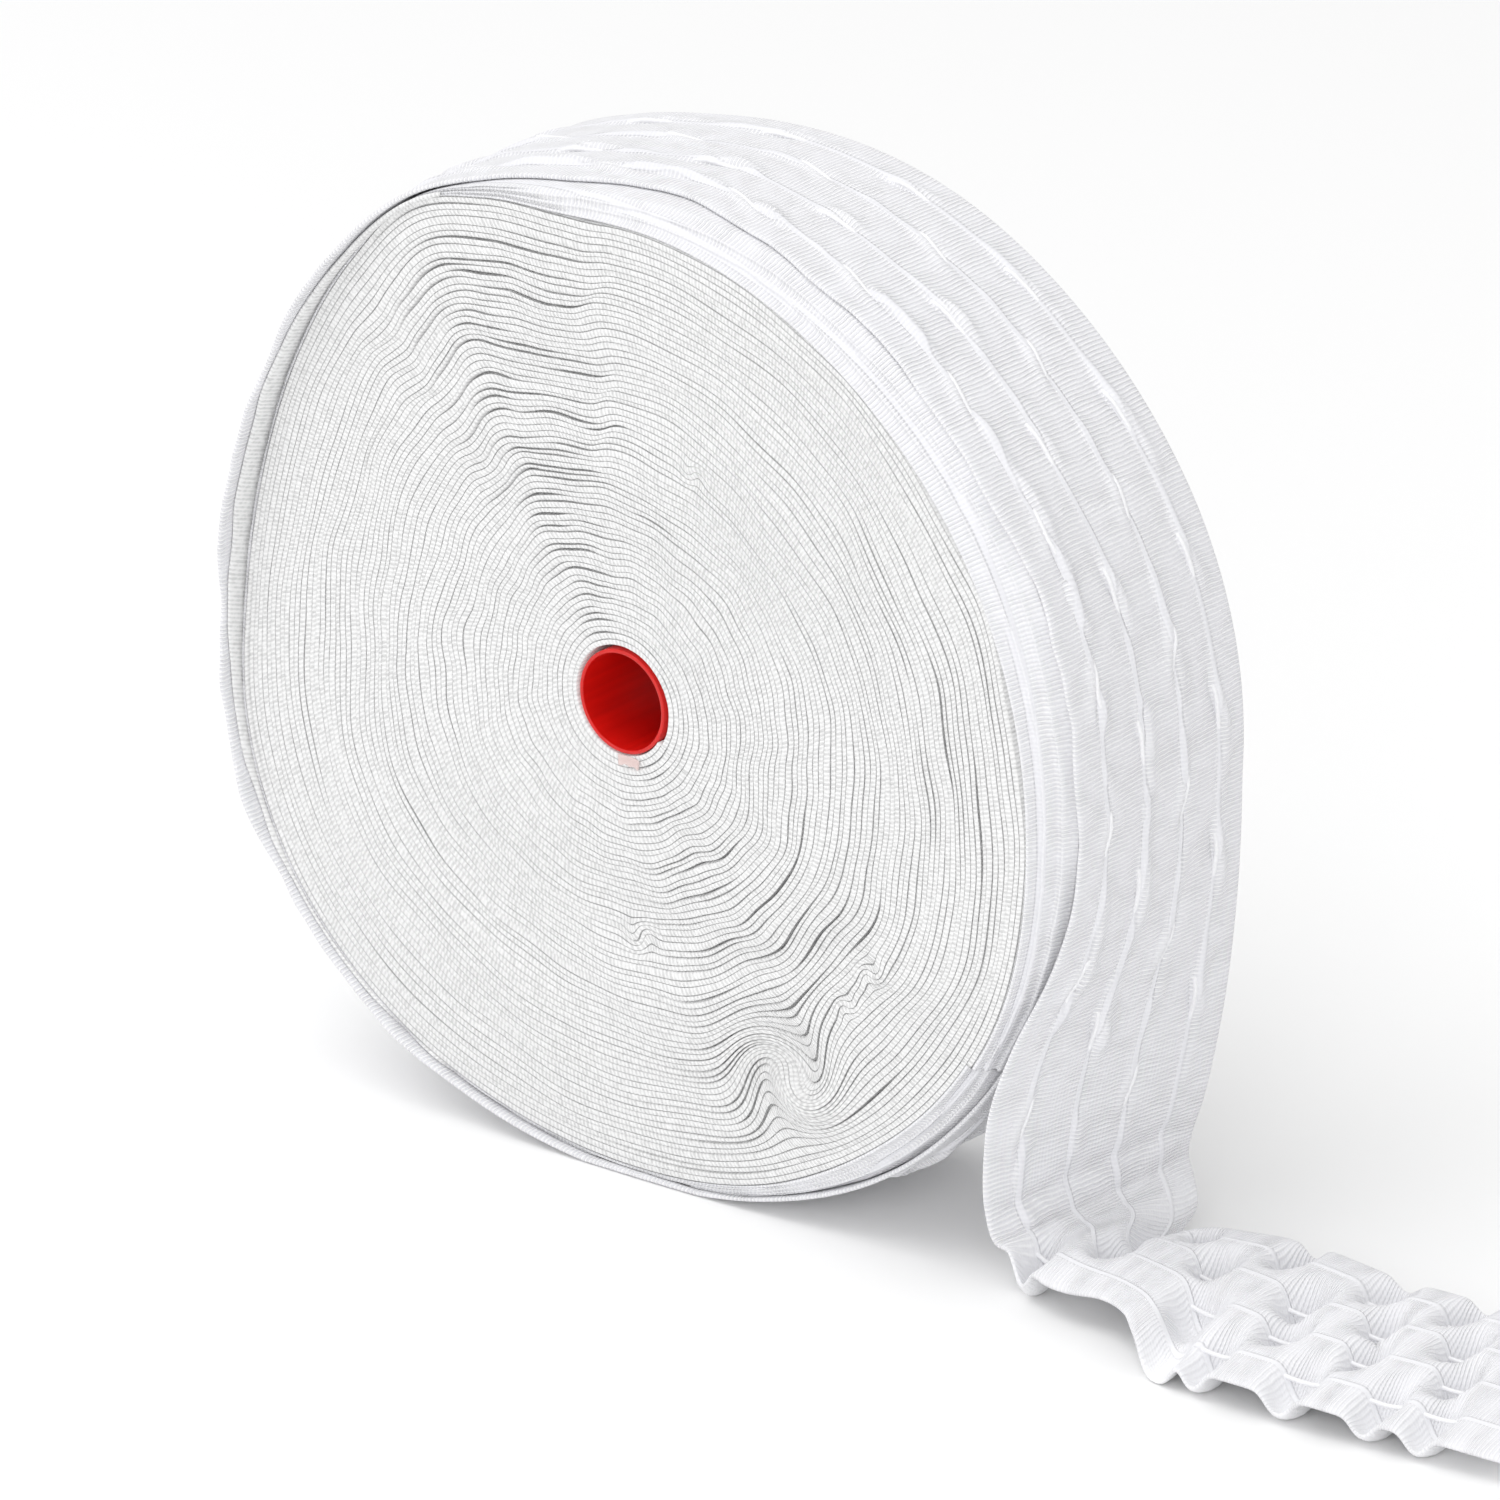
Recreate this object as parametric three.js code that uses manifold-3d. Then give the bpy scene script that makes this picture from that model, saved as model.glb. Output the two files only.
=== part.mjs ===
// A roll of white curtain heading tape, standing on its rim, with its last turn loose and its end
// gathered along the surface in front of it.
//
// Lengths are in millimetres and angles in degrees. +Z is up, +Y runs along the roll's axis from
// the face that shows to the far face, and +X is the side on which the tape leaves the roll.
// The origin is on the standing surface, under the axis and midway between the faces.
// An angle round the roll starts at +X and turns towards +Z.

import * as THREE from 'three';
import { mergeVertices } from 'three/addons/utils/BufferGeometryUtils.js';
import Module from 'manifold-3d';

// Driving sizes
const TAPE_WIDTH = 76;
const TAPE_THICKNESS = 1.5;
const AXIS_HEIGHT = 152;
const CORE_OUTER_RADIUS = 16;
const CORE_WALL = 1.2;
const PIECE_GAP = 0.3;
const CORD_DIAMETER = 1.4;

// Columns across the tape, from its near selvedge, with the four draw cords on their own columns
const ACROSS = [0, 6, 12, 20.5, 29.5, 38, 47, 55.5, 64, 70, TAPE_WIDTH];
const CORD_COLUMN = { near: 2, second: 4, third: 6, far: 8 };

// Fineness of the mesh
const STEPS_PER_TURN = 80;
const FACE_RINGS = 10;
const FAR_FACE_RINGS = 4;
const RIM_RINGS = 2;
const HANG_STEP = 6;
const TAIL_STEP = 2.6;

// The roll by angle: outer radius, how far the stepped selvedges draw in at the face, and how far
// the pack's face is set back at its rim. The lower left bulges and the upper right is pressed in.
const OUTLINE = [
  { angle: 0, radius: 152.6, bevel: 9.0, setback: 8 },
  { angle: 30, radius: 153.6, bevel: 12.5, setback: 8 },
  { angle: 60, radius: 150.6, bevel: 10.0, setback: 8 },
  { angle: 88, radius: 150.6, bevel: 2.5, setback: 9 },
  { angle: 102, radius: 152.4, bevel: 1.5, setback: 8 },
  { angle: 113, radius: 156.4, bevel: 1.0, setback: 8 },
  { angle: 123, radius: 160.0, bevel: 0.8, setback: 7 },
  { angle: 135, radius: 157.6, bevel: 0.8, setback: 7 },
  { angle: 150, radius: 154.8, bevel: 0.8, setback: 7 },
  { angle: 166, radius: 154.0, bevel: 0.8, setback: 7 },
  { angle: 182, radius: 155.6, bevel: 0.8, setback: 5 },
  { angle: 198, radius: 160.2, bevel: 0.8, setback: 2 },
  { angle: 215, radius: 160.8, bevel: 0.8, setback: 0 },
  { angle: 235, radius: 157.6, bevel: 0.8, setback: 0 },
  { angle: 253, radius: 154.4, bevel: 1.0, setback: 2 },
  { angle: 270, radius: 153.6, bevel: 1.5, setback: 4 },
  { angle: 288, radius: 156.2, bevel: 3.5, setback: 6 },
  { angle: 305, radius: 158.6, bevel: 7.5, setback: 7 },
  { angle: 320, radius: 157.0, bevel: 6.5, setback: 8 },
  { angle: 335, radius: 154.2, bevel: 5.0, setback: 8 },
];

// The last turn by the angle wound from its start: setback of its near selvedge, and its slack
const LAST_TURN = [
  { wound: 0, lead: 13, slack: 0.0 },
  { wound: 30, lead: 8, slack: 0.0 },
  { wound: 56, lead: 2, slack: 0.0 },
  { wound: 90, lead: -3, slack: 0.5 },
  { wound: 115, lead: -4, slack: 1.4 },
  { wound: 145, lead: -3, slack: 2.0 },
  { wound: 172, lead: -2, slack: 2.8 },
  { wound: 190, lead: 0, slack: 4.2 },
  { wound: 204, lead: 3, slack: 4.4 },
  { wound: 216, lead: 7, slack: 2.4 },
  { wound: 232, lead: 13, slack: 0.6 },
  { wound: 255, lead: 16, slack: 0.0 },
  { wound: 290, lead: 15, slack: 0.0 },
  { wound: 325, lead: 20, slack: 0.0 },
  { wound: 360, lead: 19, slack: 0.0 },
];
const START_ANGLE = -34;
const STEP_ANGLE = 0.5;
const LEAVING_ANGLE = 330;
const PACK_SETTLES_BY = 40;

// Where the loose end hangs: its two selvedges, from the roll down to the crease over the surface.
// x and y are from the axis and the face, and height is from the axis.
const HANG = [
  { nearX: 151.6, nearY: 19, nearHeight: -30, farX: 152.8, farY: 95.5, farHeight: -30 },
  { nearX: 146.6, nearY: 16, nearHeight: -50, farX: 152.6, farY: 94.5, farHeight: -50 },
  { nearX: 137.2, nearY: 10, nearHeight: -75, farX: 151.8, farY: 92, farHeight: -75 },
  { nearX: 131.0, nearY: 8, nearHeight: -95, farX: 150.4, farY: 89, farHeight: -95 },
  { nearX: 128.6, nearY: 8.5, nearHeight: -112, farX: 148.4, farY: 86, farHeight: -112 },
  { nearX: 128.4, nearY: 9.5, nearHeight: -127, farX: 146.0, farY: 84, farHeight: -123 },
  { nearX: 131.0, nearY: 11, nearHeight: -137.5, farX: 144.6, farY: 84, farHeight: -131 },
];

// Where the gathered end lies: its two selvedges in plan, and the height of its pleats' crowns
const LYING = [
  { nearX: 136, nearY: 11, farX: 148, farY: 82, nearCrown: 13, crown: 15, farCrown: 16 },
  { nearX: 143, nearY: 9, farX: 152, farY: 79, nearCrown: 12, crown: 14, farCrown: 11 },
  { nearX: 151, nearY: 7, farX: 155, farY: 71, nearCrown: 9, crown: 14, farCrown: 6 },
  { nearX: 161, nearY: 6, farX: 160, farY: 64, nearCrown: 9, crown: 15, farCrown: 5 },
  { nearX: 174, nearY: 6, farX: 172, farY: 62, nearCrown: 11, crown: 15, farCrown: 12 },
  { nearX: 186, nearY: 1, farX: 184, farY: 65, nearCrown: 12, crown: 15, farCrown: 13 },
  { nearX: 196, nearY: -6, farX: 194, farY: 68, nearCrown: 10, crown: 15, farCrown: 13 },
  { nearX: 212, nearY: -9, farX: 210, farY: 69, nearCrown: 8, crown: 15, farCrown: 13 },
  { nearX: 236, nearY: -8, farX: 233, farY: 69, nearCrown: 8, crown: 14, farCrown: 12 },
  { nearX: 260, nearY: -6, farX: 256, farY: 71, nearCrown: 8, crown: 14, farCrown: 12 },
  { nearX: 286, nearY: -2, farX: 280, farY: 74, nearCrown: 7, crown: 14, farCrown: 11 },
  { nearX: 318, nearY: 3, farX: 312, farY: 77, nearCrown: 6, crown: 12, farCrown: 9 },
];

// The valleys between the gathered pleats: x and distance from the near selvedge of each valley,
// its half length along the tape and half width across it. A valley on a cord's column is crossed
// by that cord, and neighbouring cords have their valleys half a pleat apart.
const VALLEYS = [
  { x: 142, across: 8, halfLength: 5, halfWidth: 10, cord: 'near' },
  { x: 158, across: 33, halfLength: 6, halfWidth: 10, cord: 'second' },
  { x: 156, across: 60, halfLength: 5, halfWidth: 18, cord: null },
  { x: 174, across: 63, halfLength: 4, halfWidth: 7, cord: 'far' },
  { x: 188, across: 47, halfLength: 6, halfWidth: 9, cord: 'third' },
  { x: 199, across: 25, halfLength: 7, halfWidth: 11, cord: 'second' },
  { x: 204, across: 2, halfLength: 7, halfWidth: 15, cord: null },
  { x: 203, across: 66, halfLength: 5, halfWidth: 9, cord: 'far' },
  { x: 218, across: 8, halfLength: 5, halfWidth: 11, cord: 'near' },
  { x: 221, across: 47, halfLength: 6, halfWidth: 9, cord: 'third' },
  { x: 228, across: 29.5, halfLength: 6, halfWidth: 8, cord: 'second' },
  { x: 236, across: 66, halfLength: 6, halfWidth: 9, cord: 'far' },
  { x: 247, across: 8, halfLength: 6, halfWidth: 11, cord: 'near' },
  { x: 248, across: 48, halfLength: 5, halfWidth: 8, cord: 'third' },
  { x: 255, across: 30, halfLength: 5, halfWidth: 9, cord: 'second' },
  { x: 262, across: 66, halfLength: 5, halfWidth: 9, cord: 'far' },
  { x: 274, across: 9, halfLength: 5, halfWidth: 11, cord: 'near' },
  { x: 274, across: 47, halfLength: 5, halfWidth: 9, cord: 'third' },
  { x: 284, across: 30, halfLength: 5, halfWidth: 9, cord: 'second' },
  { x: 288, across: 66, halfLength: 5, halfWidth: 9, cord: 'far' },
  { x: 291, across: 8, halfLength: 5, halfWidth: 11, cord: 'near' },
  { x: 300, across: 47, halfLength: 5, halfWidth: 9, cord: 'third' },
];

// The short spans of cord that bridge the valleys
const FLOAT_HEIGHT = 8.7;
const FLOAT_SIDES = 6;
const FLOAT_REACH = 2.4;

// Shallow waves of the pack's face: how far turns stand proud or sink, how many times in a turn,
// and the radius over which a wave changes by a radian. They fade towards the core and the rim.
const FACE_WAVES = [
  { depth: 0.8, perTurn: 3, radiusPerRadian: 11 },
  { depth: 0.5, perTurn: 5, radiusPerRadian: -7 },
];
const WAVED_FACE = { from: 24, span: 112 };

// The turns that have buckled at the face's lower right, and the hollow round them
const BUCKLE = { angle: -62, radius: 124, depth: 2.6, reach: 17 };

// Fullness between the cords of the last turn, which comes and goes with its puckers
const FULLNESS = { height: 0.5, from: 12, span: 52, bands: 3, puckerAngle: 17.5, steady: 0.6 };

// Small waves of the last turn's near selvedge
const SELVEDGE_WAVES = [
  { depth: 0.9, perTurn: 11, phase: 0 },
  { depth: 0.6, perTurn: 23, phase: 40 },
];

// The scrap of clear adhesive film under the core
const SCRAP = { halfWidth: 4.2, height: 3.6, thickness: 0.4, corner: 0.8, x: 3, below: 0.5 };

// Worked out from the driving sizes
const TURN_PITCH = TAPE_THICKNESS + 2 * PIECE_GAP;
const PACK_BORE_RADIUS = CORE_OUTER_RADIUS + PIECE_GAP;
const FACE_Y = -TAPE_WIDTH / 2;

const radians = THREE.MathUtils.degToRad;
const lerp = THREE.MathUtils.lerp;

/** Smooth curve through four values spaced at their own places, read between the middle two. */
function smoothBetween(places, values, place) {
  const [, a, b] = places;
  const share = (place - a) / (b - a);
  const slopeA = (values[2] - values[0]) / (places[2] - places[0]) * (b - a);
  const slopeB = (values[3] - values[1]) / (places[3] - places[1]) * (b - a);
  const s2 = share * share;
  const s3 = s2 * share;
  return (2 * s3 - 3 * s2 + 1) * values[1] + (s3 - 2 * s2 + share) * slopeA
    + (3 * s2 - 2 * s3) * values[2] + (s3 - s2) * slopeB;
}

/** A column of the OUTLINE table at any angle. */
function outline(column, angle) {
  const turned = THREE.MathUtils.euclideanModulo(angle, 360);
  const count = OUTLINE.length;
  let i = count - 1;
  while (OUTLINE[i].angle > turned) i -= 1;
  const rows = [-1, 0, 1, 2].map((k) => ({
    place: OUTLINE[(i + k + count) % count].angle + 360 * Math.floor((i + k) / count),
    value: OUTLINE[(i + k + count) % count][column],
  }));
  return smoothBetween(rows.map((r) => r.place), rows.map((r) => r.value), turned);
}

/** A column of an open table at any place along it. */
function along(table, key, column, place) {
  const last = table.length - 1;
  const at = THREE.MathUtils.clamp(place, table[0][key], table[last][key]);
  let i = 0;
  while (i < last - 1 && table[i + 1][key] <= at) i += 1;
  const rows = [i - 1, i, i + 1, i + 2].map((k) => {
    const row = table[THREE.MathUtils.clamp(k, 0, last)];
    const reach = k < 0 || k > last ? Math.sign(k) : 0;
    return { place: row[key] + reach, value: row[column] };
  });
  return smoothBetween(rows.map((r) => r.place), rows.map((r) => r.value), at);
}

const lead = (wound) => along(LAST_TURN, 'wound', 'lead', wound);
const slack = (wound) => Math.max(0, along(LAST_TURN, 'wound', 'slack', wound));

/** Outer radius of the last turn, which grows by one turn's pitch all the way round. */
function lastTurnRadius(wound) {
  return outline('radius', START_ANGLE - wound) + (wound / 360 - 0.5) * TURN_PITCH;
}

/** Outer radius of the wound pack under the last turn. */
function packRadius(wound) {
  return lastTurnRadius(wound) - TAPE_THICKNESS - PIECE_GAP - slack(wound);
}

/** Setback of the turn under the last one, which runs on evenly where the last turn begins. */
function packLead(wound) {
  const settled = THREE.MathUtils.smoothstep(wound, 0, PACK_SETTLES_BY);
  return lerp(lead(360), lead(wound), settled);
}

/** A point at a radius and angle round the axis and a distance behind the core's near end. */
function rollPoint(radius, angle, y, lowest = 0) {
  const a = radians(angle);
  const height = AXIS_HEIGHT + radius * Math.sin(a);
  return new THREE.Vector3(radius * Math.cos(a), FACE_Y + y, Math.max(height, lowest));
}

/** A closed body from rings of points, joined ring to ring and end to end. */
function ringBody(rings) {
  const size = rings[0].length;
  const positions = rings.flat().flatMap((p) => [p.x, p.y, p.z]);
  const index = [];
  rings.forEach((ring, i) => {
    const next = (i + 1) % rings.length;
    for (let j = 0; j < size; j += 1) {
      const k = (j + 1) % size;
      const [a, b] = [i * size + j, i * size + k];
      const [c, d] = [next * size + j, next * size + k];
      index.push(a, c, b, b, c, d);
    }
  });
  return bodyFrom(positions, index);
}

/** A closed sheet between two grids of points, its upper face first. */
function sheetBody(upper, lower) {
  const rows = upper.length;
  const size = upper[0].length;
  const positions = [...upper, ...lower].flat().flatMap((p) => [p.x, p.y, p.z]);
  const top = (i, j) => i * size + j;
  const bottom = (i, j) => (rows + i) * size + j;
  const index = [];
  const quad = (a, b, c, d) => index.push(a, b, c, a, c, d);
  for (let i = 0; i < rows - 1; i += 1) {
    for (let j = 0; j < size - 1; j += 1) {
      quad(top(i, j), top(i + 1, j), top(i + 1, j + 1), top(i, j + 1));
      quad(bottom(i, j), bottom(i, j + 1), bottom(i + 1, j + 1), bottom(i + 1, j));
    }
    quad(top(i, 0), bottom(i, 0), bottom(i + 1, 0), top(i + 1, 0));
    quad(top(i + 1, size - 1), bottom(i + 1, size - 1), bottom(i, size - 1), top(i, size - 1));
  }
  for (let j = 0; j < size - 1; j += 1) {
    quad(top(0, j), top(0, j + 1), bottom(0, j + 1), bottom(0, j));
    quad(top(rows - 1, j + 1), top(rows - 1, j), bottom(rows - 1, j), bottom(rows - 1, j + 1));
  }
  return bodyFrom(positions, index);
}

function bodyFrom(positions, index) {
  const geometry = new THREE.BufferGeometry();
  geometry.setAttribute('position', new THREE.Float32BufferAttribute(positions, 3));
  geometry.setIndex(index);
  geometry.computeVertexNormals();
  return geometry;
}

// Wound pack

/** How far the turns at one place of the face stand proud or sink in its shallow waves. */
function faceWave(radius, angle) {
  const share = THREE.MathUtils.clamp((radius - WAVED_FACE.from) / WAVED_FACE.span, 0, 1);
  const fade = Math.sin(Math.PI * share);
  return FACE_WAVES.reduce((sum, wave) => sum
    + wave.depth * fade * Math.sin(wave.perTurn * radians(angle) + radius / wave.radiusPerRadian), 0);
}

/** How deep the hollow round the buckled turns is at one place of the face. */
function buckleHollow(radius, angle) {
  const [a, b] = [radians(angle), radians(BUCKLE.angle)];
  const away = Math.hypot(
    radius * Math.cos(a) - BUCKLE.radius * Math.cos(b),
    radius * Math.sin(a) - BUCKLE.radius * Math.sin(b),
  );
  return BUCKLE.depth * Math.exp(-((away / BUCKLE.reach) ** 2));
}

/** The pack's section at one angle, as radius and distance behind the core's near end. */
function packSection(wound, angle) {
  const radius = packRadius(wound);
  const bevel = Math.max(0.6, outline('bevel', angle));
  const setback = outline('setback', angle);
  const rim = radius - bevel;
  const nearEdge = Math.max(packLead(wound) + 1, setback + 0.8);
  const farEdge = Math.max(packLead(wound), setback) + TAPE_WIDTH;
  const edge = Math.min(TAPE_THICKNESS, bevel * 0.3);
  const strip = { radius: rim + bevel * 0.5, y: lerp(setback, nearEdge, 0.5) };
  const section = [];
  for (let k = 0; k < FACE_RINGS; k += 1) {
    const share = k / FACE_RINGS;
    const r = lerp(PACK_BORE_RADIUS, rim, share);
    section.push([r, setback * share ** 1.5 + faceWave(r, angle) + buckleHollow(r, angle)]);
  }
  section.push([rim, setback], [rim + edge, setback + 0.3]);
  section.push([strip.radius, strip.y], [strip.radius + edge, strip.y + 0.3]);
  for (let k = 0; k <= RIM_RINGS; k += 1) {
    section.push([radius, lerp(nearEdge, farEdge, k / RIM_RINGS)]);
  }
  section.push([rim + bevel * 0.6, lerp(farEdge, setback + TAPE_WIDTH, 0.4)]);
  for (let k = FAR_FACE_RINGS; k >= 0; k -= 1) {
    const share = k / FAR_FACE_RINGS;
    const r = lerp(PACK_BORE_RADIUS, rim, share);
    section.push([r, TAPE_WIDTH + setback * share ** 1.5]);
  }
  return section;
}

function woundRoll() {
  const lowest = TAPE_THICKNESS + PIECE_GAP;
  const wound = [];
  for (let k = 0; k < STEPS_PER_TURN; k += 1) wound.push(k * 360 / STEPS_PER_TURN);
  wound.push(360 - STEP_ANGLE);
  return ringBody(wound.map((w) => {
    const angle = START_ANGLE - w;
    return packSection(w, angle).map(([r, y]) => rollPoint(r, angle, y, lowest));
  }));
}

// Core

function coreTube() {
  const inner = CORE_OUTER_RADIUS - CORE_WALL;
  const edge = 0.3;
  const profile = [
    [inner, edge], [inner + edge, 0], [CORE_OUTER_RADIUS - edge, 0], [CORE_OUTER_RADIUS, edge],
    [CORE_OUTER_RADIUS, TAPE_WIDTH - edge], [CORE_OUTER_RADIUS - edge, TAPE_WIDTH],
    [inner + edge, TAPE_WIDTH], [inner, TAPE_WIDTH - edge], [inner, edge],
  ].map(([r, y]) => new THREE.Vector2(r, y));
  return new THREE.LatheGeometry(profile, 48);
}

/** The scrap of clear adhesive film that held the tape's inner end, showing under the core. */
function adhesiveScrap() {
  const { halfWidth, height, thickness, corner } = SCRAP;
  const torn = new THREE.Shape();
  torn.moveTo(-halfWidth, 0);
  torn.lineTo(-halfWidth + corner, -height);
  torn.lineTo(halfWidth - 2 * corner, -height + corner);
  torn.lineTo(halfWidth, -corner);
  torn.quadraticCurveTo(0, 2 * corner, -halfWidth, 0);
  return new THREE.ExtrudeGeometry(torn, {
    depth: thickness, bevelEnabled: false, curveSegments: 4,
  });
}

// Loose tape

/** How far the last turn stands out between its cords. */
function fullness(across, wound) {
  const { height, from, span, bands, puckerAngle, steady } = FULLNESS;
  const share = THREE.MathUtils.clamp((across - from) / span, 0, 1);
  const rhythm = steady + (1 - steady) * Math.sin(2 * Math.PI * wound / puckerAngle);
  return height * Math.sin(Math.PI * share * bands) ** 2 * rhythm;
}

/** How far the near selvedge wanders along the last turn. */
function selvedgeWave(wound) {
  return SELVEDGE_WAVES.reduce((sum, wave) => sum
    + wave.depth * Math.sin(radians(wound * wave.perTurn + wave.phase)), 0);
}

/** Rows of the last turn's middle surface, from its start to where it leaves the roll. */
function turnRows() {
  const rows = [];
  const step = 360 / STEPS_PER_TURN;
  for (let w = 0; w <= LEAVING_ANGLE; w += step) {
    const wound = Math.max(w, STEP_ANGLE);
    const rise = THREE.MathUtils.smoothstep(wound, 70, 100);
    rows.push(ACROSS.map((v) => rollPoint(
      lastTurnRadius(wound) - TAPE_THICKNESS / 2 + rise * fullness(v, wound),
      START_ANGLE - wound,
      lead(wound) + v + rise * selvedgeWave(wound) * (1 - v / TAPE_WIDTH),
      TAPE_THICKNESS / 2,
    )));
  }
  return rows;
}

/** How deep the valleys cut a pleat's crown at one place, from 0 to 1. */
function valleyDepth(x, across) {
  let left = 1;
  for (const valley of VALLEYS) {
    const dx = (x - valley.x) / valley.halfLength;
    const dv = (across - valley.across) / valley.halfWidth;
    left *= 1 - Math.exp(-((dx * dx + dv * dv) ** 1.5));
  }
  return 1 - left;
}

/** Rows of the hanging and lying stretches: the two selvedges' curves with the tape between. */
function endRows(start) {
  const nearPath = [start[0].clone()];
  const farPath = [start[start.length - 1].clone()];
  for (const h of HANG) {
    nearPath.push(new THREE.Vector3(h.nearX, FACE_Y + h.nearY, AXIS_HEIGHT + h.nearHeight));
    farPath.push(new THREE.Vector3(h.farX, FACE_Y + h.farY, AXIS_HEIGHT + h.farHeight));
  }
  for (const l of LYING) {
    const base = TAPE_THICKNESS / 2;
    nearPath.push(new THREE.Vector3(l.nearX, FACE_Y + l.nearY, base + l.nearCrown));
    farPath.push(new THREE.Vector3(l.farX, FACE_Y + l.farY, base + l.farCrown));
  }
  const near = new THREE.CatmullRomCurve3(nearPath, false, 'centripetal');
  const far = new THREE.CatmullRomCurve3(farPath, false, 'centripetal');
  const crease = HANG.length / (nearPath.length - 1);
  const rows = [];
  for (let t = 0; t < 1;) {
    const here = near.getPoint(t);
    const ahead = near.getPoint(t + 0.001);
    t += 0.001 * (t < crease * 0.8 ? HANG_STEP : TAIL_STEP) / here.distanceTo(ahead);
    rows.push(endRow(near, far, Math.min(t, 1), crease));
  }
  return rows;
}

function endRow(near, far, t, crease) {
  const a = near.getPoint(t);
  const b = far.getPoint(t);
  const lying = THREE.MathUtils.smoothstep(t, crease * 0.93, crease * 1.12);
  const place = THREE.MathUtils.clamp((t - crease) / (1 - crease), 0, 1) * (LYING.length - 1);
  const i = Math.min(Math.floor(place), LYING.length - 2);
  const crown = lerp(LYING[i].crown, LYING[i + 1].crown, place - i);
  return ACROSS.map((v) => {
    const share = v / TAPE_WIDTH;
    const p = a.clone().lerp(b, share);
    const raised = (crown - lerp(a.z, b.z, 0.5) + TAPE_THICKNESS / 2) * Math.sin(Math.PI * share) ** 0.6;
    const top = p.z + lying * Math.max(0, raised);
    const depth = lying * valleyDepth(p.x, v);
    p.z = lerp(top, TAPE_THICKNESS / 2, depth);
    return p;
  });
}

/** Unit normals of a grid of points, pointing to the tape's corded face. */
function gridNormals(rows) {
  const last = { i: rows.length - 1, j: rows[0].length - 1 };
  return rows.map((row, i) => row.map((_, j) => {
    const ahead = rows[Math.min(i + 1, last.i)][j].clone().sub(rows[Math.max(i - 1, 0)][j]);
    const over = rows[i][Math.min(j + 1, last.j)].clone().sub(rows[i][Math.max(j - 1, 0)]);
    return ahead.cross(over).normalize();
  }));
}

/** Both ends of the cord's span over one valley: where the valley's walls reach its height. */
function floatSpan(rows, valley) {
  const column = CORD_COLUMN[valley.cord];
  const line = rows.map((row) => row[column]);
  let low = line.length - 1;
  line.forEach((p, i) => {
    if (Math.abs(p.x - valley.x) < Math.abs(line[low].x - valley.x) && p.z < 40) low = i;
  });
  const crest = FLOAT_HEIGHT + TAPE_THICKNESS / 2;
  const reach = (step) => {
    for (let i = low; i > 0 && i < line.length - 1; i += step) {
      const [from, to] = [line[i], line[i + step]];
      if (from.z <= crest && to.z > crest) {
        return from.clone().lerp(to, (crest - from.z) / (to.z - from.z));
      }
      if (Math.abs(to.x - valley.x) > FLOAT_REACH * valley.halfLength) return null;
    }
    return null;
  };
  return [reach(-1), reach(1)];
}

/** One span of draw cord, a straight rod between two points. */
function cordFloat(from, to) {
  const section = new THREE.Shape();
  for (let k = 0; k < FLOAT_SIDES; k += 1) {
    const a = 2 * Math.PI * k / FLOAT_SIDES;
    const p = [CORD_DIAMETER / 2 * Math.cos(a), CORD_DIAMETER / 2 * Math.sin(a)];
    if (k === 0) section.moveTo(...p);
    else section.lineTo(...p);
  }
  return new THREE.ExtrudeGeometry(section, {
    extrudePath: new THREE.LineCurve3(from, to), steps: 1, bevelEnabled: false,
  });
}

const wasm = await Module();
wasm.setup();

function toSolid(geometry) {
  const bare = geometry.clone();
  bare.deleteAttribute('normal');
  bare.deleteAttribute('uv');
  const merged = mergeVertices(bare, 1e-4);
  return new wasm.Manifold(new wasm.Mesh({
    numProp: 3,
    vertProperties: new Float32Array(merged.attributes.position.array),
    triVerts: new Uint32Array(merged.index.array),
  }));
}

function fromSolid(solid) {
  const mesh = solid.getMesh();
  return bodyFrom(Array.from(mesh.vertProperties), Array.from(mesh.triVerts));
}

function looseTape() {
  const turn = turnRows();
  const rows = [...turn, ...endRows(turn[turn.length - 1])];
  const normals = gridNormals(rows);
  const offset = (distance) => rows.map((row, i) => row.map((p, j) => {
    const q = p.clone().addScaledVector(normals[i][j], distance);
    q.z = Math.max(q.z, distance > 0 ? 0 : TAPE_THICKNESS / 2 + distance);
    return q;
  }));
  let solid = toSolid(sheetBody(offset(TAPE_THICKNESS / 2), offset(-TAPE_THICKNESS / 2)));
  for (const valley of VALLEYS.filter((v) => v.cord)) {
    const [from, to] = floatSpan(rows.slice(turn.length), valley);
    if (from && to) solid = solid.add(toSolid(cordFloat(from, to)));
  }
  return fromSolid(solid);
}

// Finishes
const wovenWhite = new THREE.MeshStandardMaterial({ color: 0xf4f4f2, roughness: 0.9, metalness: 0 });
const rolledWhite = new THREE.MeshStandardMaterial({ color: 0xededea, roughness: 0.95, metalness: 0 });
const redPlastic = new THREE.MeshStandardMaterial({ color: 0xc81410, roughness: 0.35, metalness: 0 });
const clearFilm = new THREE.MeshStandardMaterial({ color: 0xf0dcd8, roughness: 0.15, metalness: 0 });

function named(name, geometry, material) {
  const mesh = new THREE.Mesh(geometry, material);
  mesh.name = name;
  return mesh;
}

const model = new THREE.Group();
model.add(named('wound_roll', woundRoll(), rolledWhite));

const core = named('core_tube', coreTube(), redPlastic);
core.position.set(0, FACE_Y, AXIS_HEIGHT);
model.add(core);

const scrap = named('adhesive_scrap', adhesiveScrap(), clearFilm);
scrap.rotation.set(Math.PI / 2, 0, 0);
scrap.position.set(
  SCRAP.x,
  FACE_Y - PIECE_GAP - SCRAP.thickness,
  AXIS_HEIGHT - CORE_OUTER_RADIUS - SCRAP.below,
);
model.add(scrap);

model.add(named('loose_tape', looseTape(), wovenWhite));

export default model;
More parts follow.
